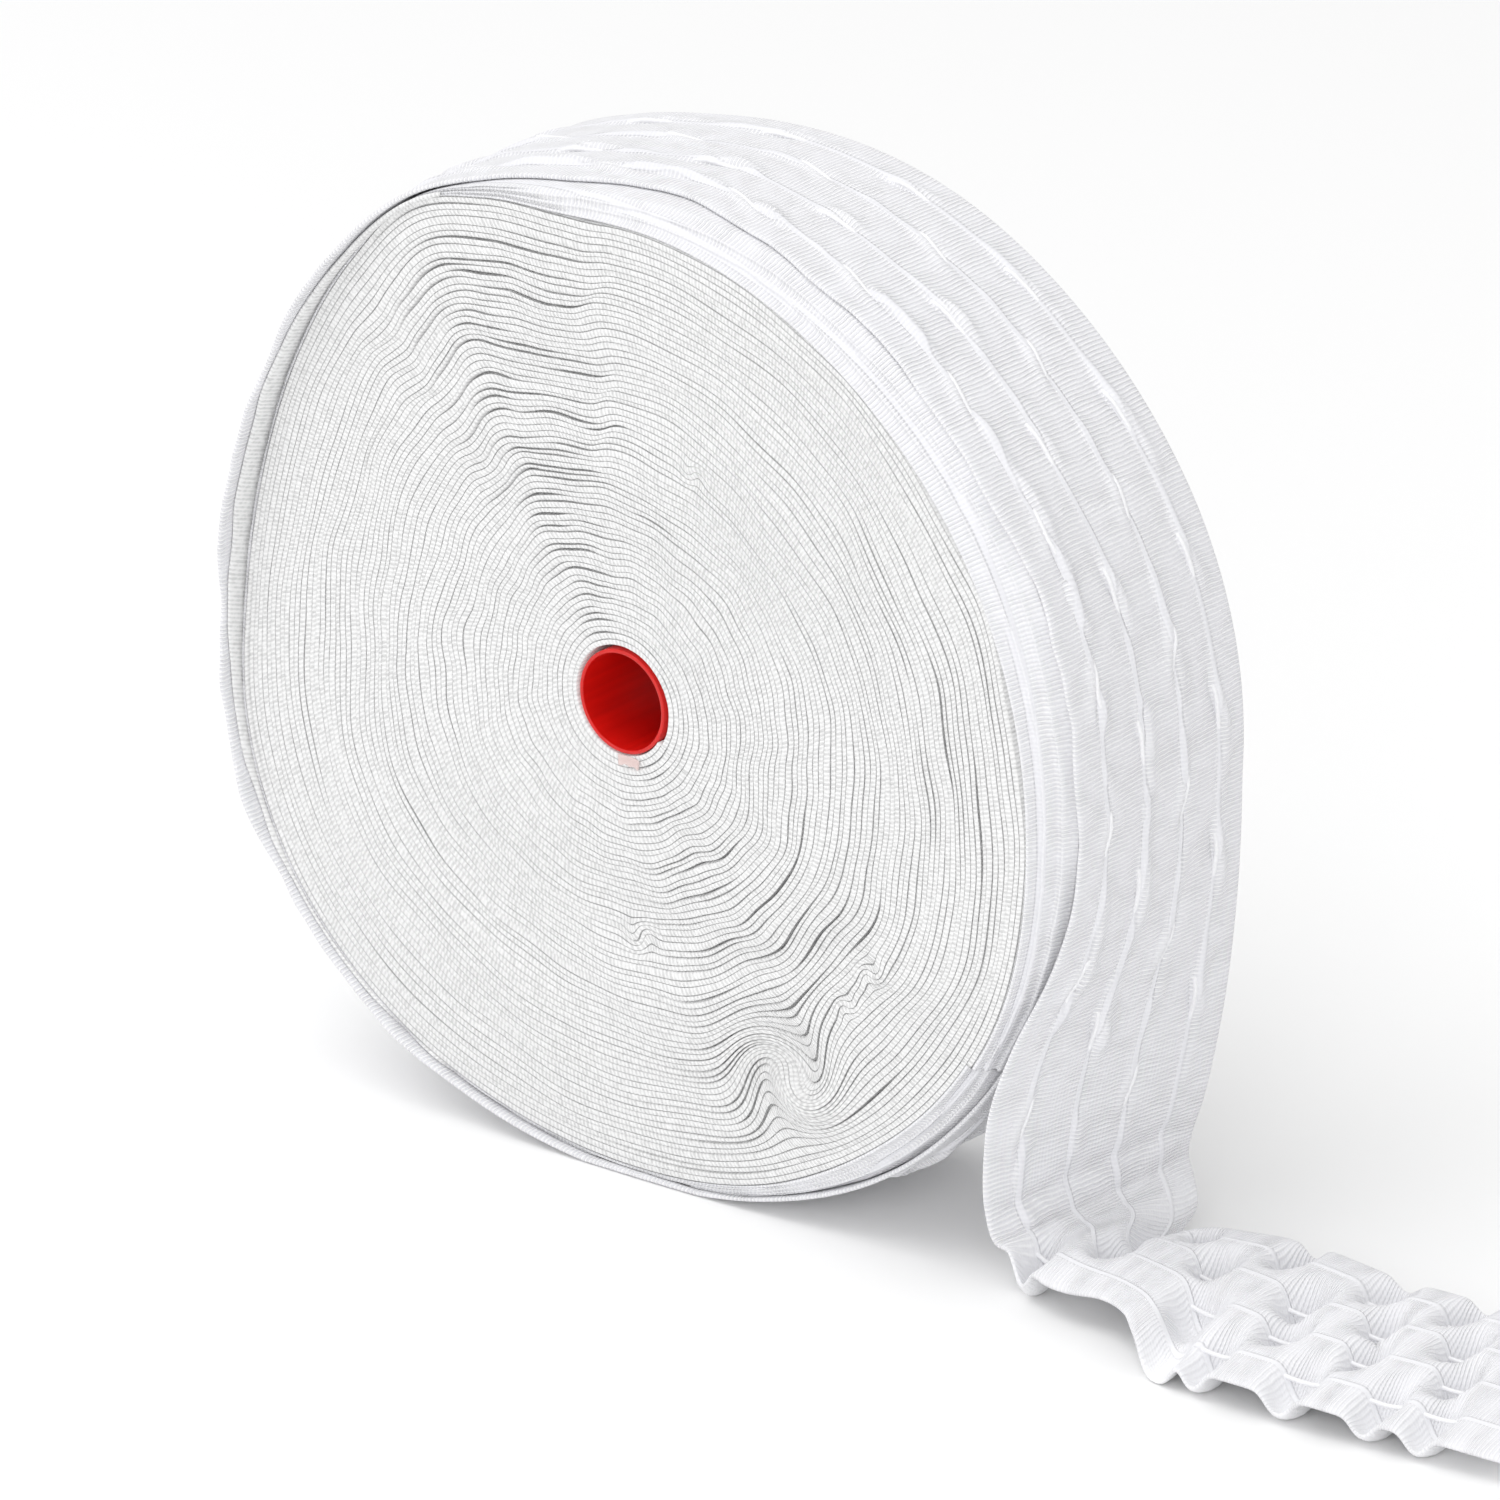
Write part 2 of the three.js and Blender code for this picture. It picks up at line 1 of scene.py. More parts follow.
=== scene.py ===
"""A roll of white curtain heading tape on a red core, with its last turn loose and its end gathered.

Shapes are worked out in millimetres and degrees, in the solids' own frame, and become metres where a
mesh is made. +Z is up, +Y runs along the roll's axis from the face that shows to the far face, and +X
is the side on which the tape leaves the roll. An angle round the roll starts at +X and turns towards +Z.
"""

import logging
import math
from dataclasses import dataclass, field
from enum import Enum
from typing import Any, NamedTuple, Sequence

import bpy
import numpy as np
from mathutils import Matrix, Vector

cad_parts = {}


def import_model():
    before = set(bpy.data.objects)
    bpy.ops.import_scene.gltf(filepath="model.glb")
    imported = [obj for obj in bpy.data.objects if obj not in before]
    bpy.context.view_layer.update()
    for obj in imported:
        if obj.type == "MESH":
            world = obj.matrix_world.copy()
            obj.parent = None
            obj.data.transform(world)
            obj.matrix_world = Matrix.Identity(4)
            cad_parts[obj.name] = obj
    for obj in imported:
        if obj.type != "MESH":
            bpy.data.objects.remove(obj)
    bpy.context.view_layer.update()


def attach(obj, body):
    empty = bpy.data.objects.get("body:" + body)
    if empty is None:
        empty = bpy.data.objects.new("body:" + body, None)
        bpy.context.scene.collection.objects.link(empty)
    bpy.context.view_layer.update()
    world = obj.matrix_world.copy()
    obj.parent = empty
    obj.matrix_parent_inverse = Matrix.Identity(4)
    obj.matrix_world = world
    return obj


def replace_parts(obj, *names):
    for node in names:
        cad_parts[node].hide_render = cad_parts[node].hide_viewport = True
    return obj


MM = 0.001
ROOT = "root"
LOG = logging.getLogger("heading_tape")
POLYESTER_IOR = 1.46

Array = np.ndarray
Material = bpy.types.Material
Node = bpy.types.Node
Piece = bpy.types.Object
Socket = bpy.types.NodeSocket
Tree = bpy.types.NodeTree

MATH = "ShaderNodeMath"
NOISE = "ShaderNodeTexNoise"
MAP_RANGE = "ShaderNodeMapRange"
PRINCIPLED = "ShaderNodeBsdfPrincipled"
FLAT_NOISE = {"noise_dimensions": "2D"}
MULTIPLY = {"operation": "MULTIPLY"}
MULTIPLY_ADD = {"operation": "MULTIPLY_ADD"}
MAXIMUM = {"operation": "MAXIMUM"}
SINE = {"operation": "SINE"}
CLAMPED = {"use_clamp": True}


class Slot(Enum):
    """The record's material slots."""

    ROLLED = "rolled_tape"
    WOVEN = "woven_tape"
    RED = "red_plastic"
    FILM = "clear_film"


class Side(Enum):
    """The two faces of the roll."""

    NEAR = "near"
    FAR = "far"


# Helpers


def linear(hex_colour: str) -> tuple[float, float, float, float]:
    """Turns an sRGB hex colour into linear light.

    Args:
        hex_colour: six hex digits, with or without a leading hash.

    Returns:
        Linear red, green and blue, with an alpha of 1.
    """
    digits = hex_colour.lstrip("#")
    parts = [int(digits[i : i + 2], 16) / 255 for i in (0, 2, 4)]
    light = [c / 12.92 if c <= 0.04045 else ((c + 0.055) / 1.055) ** 2.4 for c in parts]
    return (light[0], light[1], light[2], 1.0)


def add_node(tree: Tree, kind: str, settings: dict[str, Any], inputs: dict[str | int, Any]) -> Node:
    """Adds a node to a tree, with its settings and its links.

    Args:
        tree: the node tree to add to.
        kind: the node's class name.
        settings: the node's own properties by name.
        inputs: a value for each named or numbered input, or the output socket that feeds it, or the
            node whose first output does.

    Returns:
        The new node.
    """
    node = tree.nodes.new(kind)
    for name, value in settings.items():
        setattr(node, name, value)
    for name, value in inputs.items():
        if isinstance(value, Node):
            value = value.outputs[0]
        if isinstance(value, Socket):
            tree.links.new(value, node.inputs[name])
        else:
            node.inputs[name].default_value = value
    return node


def new_material(name: str) -> tuple[Material, Tree]:
    """Makes an empty node material.

    Args:
        name: the material's name.

    Returns:
        The material and its cleared node tree.
    """
    material = bpy.data.materials.new(name)
    material.use_nodes = True
    material.node_tree.nodes.clear()
    return material, material.node_tree


def ranges(value: Any, read: tuple[float, float], given: tuple[float, float]) -> dict[str, Any]:
    """Inputs that map a value from the range that is read to the range that is given."""
    ends = {"From Min": read[0], "From Max": read[1], "To Min": given[0], "To Max": given[1]}
    return {"Value": value, **ends}


def finish_material(
    tree: Tree, tones: tuple[str, ...], share: Any, height: Any, relief: tuple[float, float],
    looks: dict[str, float],
) -> None:
    """Ends a material with its tones, its relief, its shader and its output.

    Args:
        tree: the material's node tree.
        tones: one colour, or the two that the share mixes, as sRGB hex.
        share: the node that mixes the tones.
        height: the node that raises the relief.
        relief: the relief's strength, and its height in millimetres.
        looks: the shader's other inputs by name.
    """
    colour: Any = linear(tones[0])
    if len(tones) > 1:
        mixed = {"Factor": share, 6: colour, 7: linear(tones[1])}
        colour = add_node(tree, "ShaderNodeMix", {"data_type": "RGBA"}, mixed).outputs[2]
    raised = {"Strength": relief[0], "Distance": relief[1] * MM, "Height": height}
    bump = add_node(tree, "ShaderNodeBump", {}, raised)
    shader = add_node(tree, PRINCIPLED, {}, {"Base Color": colour, "Normal": bump, **looks})
    add_node(tree, "ShaderNodeOutputMaterial", {}, {"Surface": shader})


def smooth_step(values: Array, low: float, high: float) -> Array:
    """Rises smoothly from 0 at low to 1 at high."""
    share = np.clip((values - low) / (high - low), 0, 1)
    return share * share * (3 - 2 * share)


def hump(values: Array, centre: float, reach: float) -> Array:
    """A round hump of height 1 at its centre."""
    return np.exp(-(((values - centre) / reach) ** 2))


def turned_from(angle: Array, centre: float) -> Array:
    """Angles counted from a centre, from -180 to 180."""
    return (angle - centre + 180) % 360 - 180


@dataclass(frozen=True)
class SmoothCurve:
    """A smooth curve through values at given places, open or repeating after a period."""

    places: tuple[float, ...]
    values: tuple[float, ...]
    period: float | None = None

    def at(self, where: Array) -> Array:
        """Reads the curve.

        Args:
            where: the places to read it at.

        Returns:
            The curve's values there.
        """
        p, v = np.array(self.places, float), np.array(self.values, float)
        if self.period is None:
            x = np.clip(where, p[0], p[-1])
            p = np.concatenate([[p[0] - 1], p, [p[-1] + 1]])
            v = np.concatenate([v[:1], v, v[-1:]])
        else:
            x = np.mod(where, self.period)
            p = np.concatenate([p[-2:] - self.period, p, p[:2] + self.period])
            v = np.concatenate([v[-2:], v, v[:2]])
        i = np.clip(np.searchsorted(p, x, side="right") - 1, 1, len(p) - 3)
        span = p[i + 1] - p[i]
        t = (x - p[i]) / span
        slope_a = (v[i + 1] - v[i - 1]) / (p[i + 1] - p[i - 1]) * span
        slope_b = (v[i + 2] - v[i]) / (p[i + 2] - p[i]) * span
        t2, t3 = t * t, t * t * t
        return (
            (2 * t3 - 3 * t2 + 1) * v[i]
            + (t3 - 2 * t2 + t) * slope_a
            + (3 * t2 - 2 * t3) * v[i + 1]
            + (t3 - t2) * slope_b
        )


def table_curve(rows: Sequence[Any], place: str, column: str, period: float | None = None) -> SmoothCurve:
    """The smooth curve of one column of a table.

    Args:
        rows: the table.
        place: the column that holds the places.
        column: the column that holds the values.
        period: the distance after which the curve repeats, if it does.

    Returns:
        The curve.
    """
    places = tuple(getattr(row, place) for row in rows)
    return SmoothCurve(places, tuple(getattr(row, column) for row in rows), period)


@dataclass(frozen=True)
class ClothNoise:
    """Smooth random values along a length, from -1 to 1, the same on every run."""

    seed: int
    count: int = 4096

    def at(self, where: Array) -> Array:
        """Reads the noise.

        Args:
            where: places along the length, one random value to each whole number.

        Returns:
            The noise there.
        """
        knots = np.random.default_rng(self.seed).uniform(-1, 1, self.count)
        low = np.floor(where).astype(int)
        t = where - low
        t = t * t * (3 - 2 * t)
        return knots[low % self.count] * (1 - t) + knots[(low + 1) % self.count] * t


class NoisePart(NamedTuple):
    """A share of smooth noise: its height, its seed, and how many random values a whole number holds."""

    height: float
    seed: int
    rate: float


class LongNoise(NamedTuple):
    """Smooth noise along a length: its height, its seed, and the length that one random value takes."""

    height: float
    seed: int
    length: float


def mixed_noise(parts: Sequence[NoisePart], where: Array) -> Array:
    """Adds up parts of smooth noise at the given places."""
    return sum(part.height * ClothNoise(part.seed).at(where * part.rate) for part in parts)


@dataclass(frozen=True)
class FaceNoise:
    """Smooth random values over a face, from -1 to 1, that join up round the roll."""

    seed: int
    cells_round: int = 20
    cells_out: int = 128

    def at(self, out: Array, angle: Array) -> Array:
        """Reads the noise.

        Args:
            out: places outwards, one random value to each whole number.
            angle: angles round the roll.

        Returns:
            The noise there.
        """
        knots = np.random.default_rng(self.seed).uniform(-1, 1, (self.cells_out, self.cells_round))
        turned = np.mod(angle, 360) / 360 * self.cells_round
        i, j = np.floor(out).astype(int), np.floor(turned).astype(int)
        f, g = out - i, turned - j
        f, g = f * f * (3 - 2 * f), g * g * (3 - 2 * g)
        i, i_next = i % self.cells_out, (i + 1) % self.cells_out
        j, j_next = j % self.cells_round, (j + 1) % self.cells_round
        low = knots[i, j] * (1 - g) + knots[i, j_next] * g
        high = knots[i_next, j] * (1 - g) + knots[i_next, j_next] * g
        return low * (1 - f) + high * f


def through(points: Array, where: Array) -> Array:
    """A curve through points, whose bends stay even where the points are unevenly spaced.

    Args:
        points: the points, one to a row.
        where: places along the curve, from 0 at the first point to 1 at the last.

    Returns:
        A point for each place.
    """
    ends = [2 * points[0] - points[1], 2 * points[-1] - points[-2]]
    p = np.vstack([ends[0], points, ends[1]])
    place = np.clip(where, 0, 1) * (len(points) - 1)
    i = np.minimum(place.astype(int), len(points) - 2)
    t = (place - i)[:, None]
    a, b, c, d = p[i], p[i + 1], p[i + 2], p[i + 3]
    ab, bc, cd = (np.sqrt(np.linalg.norm(q - r, axis=1))[:, None] for q, r in ((a, b), (b, c), (c, d)))
    start = ((b - a) / ab - (c - a) / (ab + bc) + (c - b) / bc) * bc
    end = ((c - b) / bc - (d - b) / (bc + cd) + (d - c) / cd) * bc
    return (
        b
        + start * t
        + (-3 * b + 3 * c - 2 * start - end) * t**2
        + (2 * b - 2 * c + start + end) * t**3
    )


@dataclass
class Surface:
    """A mesh while it is made: points in millimetres, faces, and each point's place on the cloth."""

    points: Array
    faces: list[Sequence[int]]
    cloth: Array

    def to_object(self, name: str, material: Material, slot: Slot) -> Piece:
        """Makes the object that is shown.

        Args:
            name: the piece's name.
            material: its finish.
            slot: the record's material slot that it belongs to; not used.

        Returns:
            The new object, in metres, riding on the roll.
        """
        mesh = bpy.data.meshes.new(name)
        mesh.from_pydata((self.points * MM).tolist(), [], self.faces)
        corners = np.empty(len(mesh.loops), dtype=np.int32)
        mesh.loops.foreach_get("vertex_index", corners)
        layer = mesh.uv_layers.new(name="cloth")
        layer.data.foreach_set("uv", (self.cloth[corners] * MM).astype(np.float32).ravel())
        mesh.polygons.foreach_set("use_smooth", np.ones(len(mesh.polygons), dtype=bool))
        mesh.update()
        mesh.materials.append(material)
        made = bpy.data.objects.new(name, mesh)
        bpy.context.scene.collection.objects.link(made)
        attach(made, ROOT)
        return made


def grid_faces(rows: int, size: int, first: int = 0, flip: bool = False) -> list[Sequence[int]]:
    """Quads of a grid of points that are numbered row by row.

    Args:
        rows: how many rows of points.
        size: how many points in a row.
        first: the number of the first point.
        flip: True to turn the faces over.

    Returns:
        A list of quads.
    """
    i, j = np.meshgrid(np.arange(rows - 1), np.arange(size - 1), indexing="ij")
    a = (first + i * size + j).ravel()
    quads = np.stack([a, a + size, a + size + 1, a + 1], axis=1)
    return (quads[:, ::-1] if flip else quads).tolist()


def ring_faces(rows: int, size: int, flip: bool = False) -> list[Sequence[int]]:
    """Quads of a grid whose last row meets its first, and whose rows each close on themselves.

    Args:
        rows: how many rows of points.
        size: how many points in a row.
        flip: True to turn the faces over.

    Returns:
        A list of quads.
    """
    number = np.arange(rows * size).reshape(rows, size)
    side = np.roll(number, -1, axis=1)
    corners = [number, side, np.roll(side, -1, axis=0), np.roll(number, -1, axis=0)]
    order = (0, 3, 2, 1) if flip else (0, 1, 2, 3)
    return np.stack([corners[k] for k in order], axis=-1).reshape(-1, 4).tolist()


def sheet_faces(rows: int, size: int) -> list[Sequence[int]]:
    """Faces of a thin closed sheet, whose two sides are numbered row by row, one after the other.

    Args:
        rows: how many rows of points on each side.
        size: how many points in a row.

    Returns:
        The faces of both sides and of the edge between them.
    """
    under, last = rows * size, (rows - 1) * size
    faces = grid_faces(rows, size) + grid_faces(rows, size, under, flip=True)
    for a in range(0, last, size):
        b = a + size
        e, f = b - 1, b + size - 1
        faces.append([a, under + a, under + b, b])
        faces.append([f, under + f, under + e, e])
    for a in range(size - 1):
        b = last + a
        faces.append([a, a + 1, under + a + 1, under + a])
        faces.append([b + 1, b, under + b, under + b + 1])
    return faces


def give_values(piece: Piece, name: str, values: Array) -> None:
    """Gives a piece's points a value each, for its finish to read.

    Args:
        piece: the piece.
        name: the attribute's name.
        values: one value for each point.
    """
    layer = piece.data.attributes.new(name=name, type="FLOAT", domain="POINT")
    layer.data.foreach_set("value", values.astype(np.float32))


def table(kind: type, rows: Sequence[Sequence[Any]]) -> tuple[Any, ...]:
    """Makes a table whose rows are all of one kind, with its named columns."""
    return tuple(kind(*row) for row in rows)


# The form that the pieces share with the solids


class OutlineRow(NamedTuple):
    """The roll at one angle: outer radius, inward step of the selvedges, setback of the pack's face."""

    angle: float
    radius: float
    bevel: float
    setback: float


class TurnRow(NamedTuple):
    """The last turn at one wound angle: setback of its near selvedge, and its slack."""

    wound: float
    lead: float
    slack: float


class HangRow(NamedTuple):
    """The hanging end's two selvedges, from the axis and the face."""

    near_x: float
    near_y: float
    near_height: float
    far_x: float
    far_y: float
    far_height: float


class LyingRow(NamedTuple):
    """The gathered end's two selvedges in plan, and the heights of its pleats' crowns."""

    near_x: float
    near_y: float
    far_x: float
    far_y: float
    near_crown: float
    crown: float
    far_crown: float


class ValleyRow(NamedTuple):
    """A valley between the pleats, and which cord bridges it, counted from the near selvedge."""

    x: float
    across: float
    half_length: float
    half_width: float
    cord: int | None


@dataclass(frozen=True)
class RollForm:
    """Sizes and curves of the roll and its loose end."""

    tape_width: float = 76.0
    tape_thickness: float = 1.5
    axis_height: float = 152.0
    core_radius: float = 16.0
    core_wall: float = 1.2
    gap: float = 0.3
    cord_diameter: float = 1.4
    cords: tuple[float, ...] = (12.0, 29.5, 47.0, 64.0)
    start_angle: float = -34.0
    leaving_angle: float = 330.0
    pack_settles_by: float = 40.0
    pleat_flat: float = 46.0
    outline_rows: tuple[OutlineRow, ...] = table(OutlineRow, (
        (0, 152.6, 9.0, 8), (30, 153.6, 12.5, 8), (60, 150.6, 10.0, 8), (88, 150.6, 7.5, 9),
        (102, 152.4, 6.5, 8), (113, 156.4, 3.6, 8), (123, 160.0, 0.8, 7), (135, 157.6, 0.8, 7),
        (150, 154.8, 0.8, 7), (166, 154.0, 0.8, 7), (182, 155.6, 0.8, 5), (198, 160.2, 0.8, 2),
        (215, 160.8, 0.8, 0), (235, 157.6, 0.8, 0), (253, 154.4, 1.0, 2), (270, 153.6, 1.5, 4),
        (288, 156.2, 3.5, 6), (305, 158.6, 7.5, 7), (320, 157.0, 6.5, 8), (335, 154.2, 5.0, 8),
    ))
    turn_rows: tuple[TurnRow, ...] = table(TurnRow, (
        (0, 13, 0.0), (30, 8, 0.0), (56, 2, 0.0), (90, -3, 0.5), (115, -4, 1.0), (145, -3, 2.0),
        (172, -2, 2.2), (190, 0, 1.4), (204, 3, 0.4), (216, 7, 0.0), (232, 13, 0.0), (255, 16, 0.0),
        (290, 15, 0.0), (325, 20, 0.0), (360, 19, 0.0),
    ))
    hang_rows: tuple[HangRow, ...] = table(HangRow, (
        (151.6, 19, -30, 152.8, 95.5, -30), (146.6, 16, -50, 152.6, 94.5, -50),
        (137.2, 10, -75, 151.8, 92, -75), (131.0, 8, -95, 150.4, 89, -95),
        (128.6, 8.5, -112, 148.4, 86, -112), (128.4, 9.5, -127, 146.0, 84, -123),
        (131.0, 11, -137.5, 144.6, 84, -131),
    ))
    lying_rows: tuple[LyingRow, ...] = table(LyingRow, (
        (136, 11, 148, 82, 13, 15, 16), (143, 9, 152, 79, 12, 14, 11), (151, 7, 154, 67, 9, 14, 3),
        (161, 6, 160, 64, 9, 15, 5), (174, 6, 172, 62, 11, 15, 12), (186, 1, 184, 65, 12, 15, 13),
        (196, -6, 194, 68, 10, 15, 13), (212, -9, 210, 69, 8, 15, 13), (236, -8, 233, 69, 8, 14, 12),
        (260, -6, 256, 71, 8, 14, 12), (286, -2, 280, 74, 7, 14, 11), (318, 3, 312, 77, 6, 12, 9),
    ))
    valley_rows: tuple[ValleyRow, ...] = table(ValleyRow, (
        (142, 8, 5, 10, 0), (158, 33, 6, 10, 1), (157, 62, 6.5, 18, None), (174, 63, 4, 7, 3),
        (188, 47, 6, 9, 2), (199, 25, 7, 11, 1), (204, 2, 7, 15, None), (203, 66, 5, 9, 3),
        (218, 8, 5, 11, 0), (221, 47, 6, 9, 2), (228, 29.5, 6, 8, 1), (236, 66, 6, 9, 3),
        (247, 8, 6, 11, 0), (248, 48, 5, 8, 2), (255, 30, 5, 9, 1), (262, 66, 5, 9, 3),
        (274, 9, 5, 11, 0), (274, 47, 5, 9, 2), (284, 30, 5, 9, 1), (288, 66, 5, 9, 3),
        (291, 8, 5, 11, 0), (300, 47, 5, 9, 2),
    ))

    @property
    def face_y(self) -> float:
        """Y of the core's near end."""
        return -self.tape_width / 2

    @property
    def turn_pitch(self) -> float:
        """How far the last turn's radius grows in a turn."""
        return self.tape_thickness + 2 * self.gap

    @property
    def bore_radius(self) -> float:
        """Inner radius of the wound pack."""
        return self.core_radius + self.gap

    def outline(self, column: str, angle: Array) -> Array:
        """Reads a column of the outline table.

        Args:
            column: radius, bevel or setback.
            angle: angles round the roll.

        Returns:
            The column's value at each angle.
        """
        return table_curve(self.outline_rows, "angle", column, period=360).at(np.asarray(angle, float))

    def last_turn(self, column: str, wound: Array) -> Array:
        """Reads a column of the last turn's table.

        Args:
            column: lead or slack.
            wound: angles wound from the last turn's start.

        Returns:
            The column's value at each angle.
        """
        read = table_curve(self.turn_rows, "wound", column).at(np.asarray(wound, float))
        return np.maximum(read, 0) if column == "slack" else read

    def last_turn_radius(self, wound: Array) -> Array:
        """Outer radius of the last turn."""
        return self.outline("radius", self.start_angle - wound) + (wound / 360 - 0.5) * self.turn_pitch

    def pack_radius(self, wound: Array) -> Array:
        """Outer radius of the wound pack under the last turn."""
        slack = self.last_turn("slack", wound)
        return self.last_turn_radius(wound) - self.tape_thickness - self.gap - slack

    def pack_lead(self, wound: Array) -> Array:
        """Setback of the turn under the last one."""
        settled = smooth_step(wound, 0, self.pack_settles_by)
        settled_lead = self.last_turn("lead", np.array(360.0))
        return settled_lead + (self.last_turn("lead", wound) - settled_lead) * settled

    def round_axis(self, radius: Array, angle: Array, y: Array, lowest: float = 0.0) -> Array:
        """Points round the roll's axis.

        Args:
            radius: distances from the axis.
            angle: angles round the axis.
            y: distances behind the core's near end.
            lowest: the least height, where the roll stands flat.

        Returns:
            The points, in the last dimension.
        """
        a = np.radians(angle)
        height = self.axis_height + radius * np.sin(a)
        return np.stack([radius * np.cos(a), self.face_y + y, np.maximum(height, lowest)], axis=-1)


FORM = RollForm()


# Finishes


@dataclass(frozen=True)
class WovenTapeFinish:
    """Woven polyester heading tape: white, matt, ribbed across its length like corded ribbon.

    The filling threads lie 1.35 mm apart and each stands up as a round rib, so raking light draws fine
    bright and grey lines straight across the tape, and the rib hollows are painted a darker grey as
    painted shade. The ribs are lower over the cord channels, which take the same painted shade as dark
    lines. The treads' lips and the puckers' ridges get a painted highlight.
    """

    name: str = "woven_polyester_heading_tape"
    crest: str = "#FAFAFB"
    # groove is painted shade: the colour of the rib hollows and of the bare cord channels
    groove: str = "#E6E6EA"
    rib_pitch_mm: float = 1.35
    rib_height_mm: float = 0.40
    rib_wander: float = 0.9
    warp_pitch_mm: float = 1.1
    warp_height_mm: float = 0.07
    channel_half_mm: float = 1.3
    channel_core: float = 0.4
    channel_smoothness: float = 0.75
    channel_rise: float = 1.5
    pocket_smoothness: float = 0.8
    unevenness_mm: float = 9.0
    uneven_read: tuple[float, float] = (0.3, 0.7)
    uneven_height: tuple[float, float] = (0.65, 1.15)
    roughness: float = 0.85
    specular: float = 0.25

    def build(self) -> Material:
        """Makes the material.

        Returns:
            The material.
        """
        material, tree = new_material(self.name)
        place = add_node(tree, "ShaderNodeUVMap", {"uv_map": "cloth"}, {})
        axes = add_node(tree, "ShaderNodeSeparateXYZ", {}, {"Vector": place})
        along, across = axes.outputs["X"], axes.outputs["Y"]
        patches = {"Vector": place, "Scale": 1 / (self.unevenness_mm * MM), "Detail": 2.0}
        wander = add_node(tree, NOISE, FLAT_NOISE, patches)
        reach = self.rib_wander * self.rib_pitch_mm * MM
        shifted = add_node(tree, MATH, MULTIPLY_ADD, {0: wander, 1: reach, 2: along})
        ribs = self.wave(tree, shifted, self.rib_pitch_mm)
        warps = self.wave(tree, across, self.warp_pitch_mm)
        channels = self.channels(tree, across)
        pocket = add_node(tree, "ShaderNodeAttribute", {"attribute_name": "pocket"}, {}).outputs["Fac"]
        lip = add_node(tree, "ShaderNodeAttribute", {"attribute_name": "lip"}, {}).outputs["Fac"]
        smoothed = {0: pocket, 1: self.pocket_smoothness}
        smooth = add_node(tree, MATH, MULTIPLY_ADD | CLAMPED, {**smoothed, 2: channels})
        bare = add_node(tree, MATH, MAXIMUM, {0: smooth, 1: lip})
        plain = add_node(tree, MATH, {"operation": "SUBTRACT"}, {0: 1.0, 1: bare})
        raised = add_node(tree, MATH, MULTIPLY, {0: ribs, 1: plain})
        uneven = add_node(tree, MAP_RANGE, {}, ranges(wander, self.uneven_read, self.uneven_height))
        uneven_ribs = add_node(tree, MATH, MULTIPLY, {0: raised, 1: uneven})
        warp_share = self.warp_height_mm / self.rib_height_mm
        height = add_node(tree, MATH, MULTIPLY_ADD, {0: warps, 1: warp_share, 2: uneven_ribs})
        height = add_node(tree, MATH, MULTIPLY_ADD, {0: channels, 1: self.channel_rise, 2: height})
        # Painted highlight: lip lightens the treads' lips and the puckers' ridges towards the crest
        # colour; pocket only takes away the rib hollows' painted shade where the ribs are smoothed away.
        shade_lifted_and_highlit = add_node(tree, MATH, MULTIPLY_ADD, {**smoothed, 2: lip})
        # The share falls to the groove colour, painted shade, in the rib hollows and the bare cord
        # channels.
        bright = add_node(tree, MATH, MAXIMUM | CLAMPED, {0: uneven_ribs, 1: shade_lifted_and_highlit})
        looks = {"Roughness": self.roughness, "IOR": POLYESTER_IOR, "Specular IOR Level": self.specular}
        finish_material(tree, (self.groove, self.crest), bright, height, (1.0, self.rib_height_mm), looks)
        return material

    def wave(self, tree: Tree, along: Any, pitch_mm: float) -> Node:
        """Adds an even wave from 0 to 1 along a distance.

        Args:
            tree: the material's node tree.
            along: the node or socket that gives the distance, in metres.
            pitch_mm: the distance from crest to crest.

        Returns:
            The wave's last node.
        """
        turned = add_node(tree, MATH, MULTIPLY, {0: along, 1: 2 * math.pi / (pitch_mm * MM)})
        wave = add_node(tree, MATH, SINE, {0: turned})
        return add_node(tree, MATH, MULTIPLY_ADD, {0: wave, 1: 0.5, 2: 0.5})

    def channels(self, tree: Tree, across: Socket) -> Any:
        """Adds a mask of the narrow channels that the cords run in.

        Args:
            tree: the material's node tree.
            across: the distance from the near selvedge, in metres.

        Returns:
            A node whose value is high on a channel and 0 between them.
        """
        mask: Any = 0.0
        half = self.channel_half_mm * MM
        for cord in FORM.cords:
            away = add_node(tree, MATH, {"operation": "SUBTRACT"}, {0: across, 1: cord * MM})
            size = add_node(tree, MATH, {"operation": "ABSOLUTE"}, {0: away})
            read = ranges(size, (half, self.channel_core * half), (0.0, self.channel_smoothness))
            inside = add_node(tree, MAP_RANGE, {"interpolation_type": "SMOOTHSTEP"}, read)
            mask = add_node(tree, MATH, MAXIMUM, {0: inside, 1: mask})
        return mask


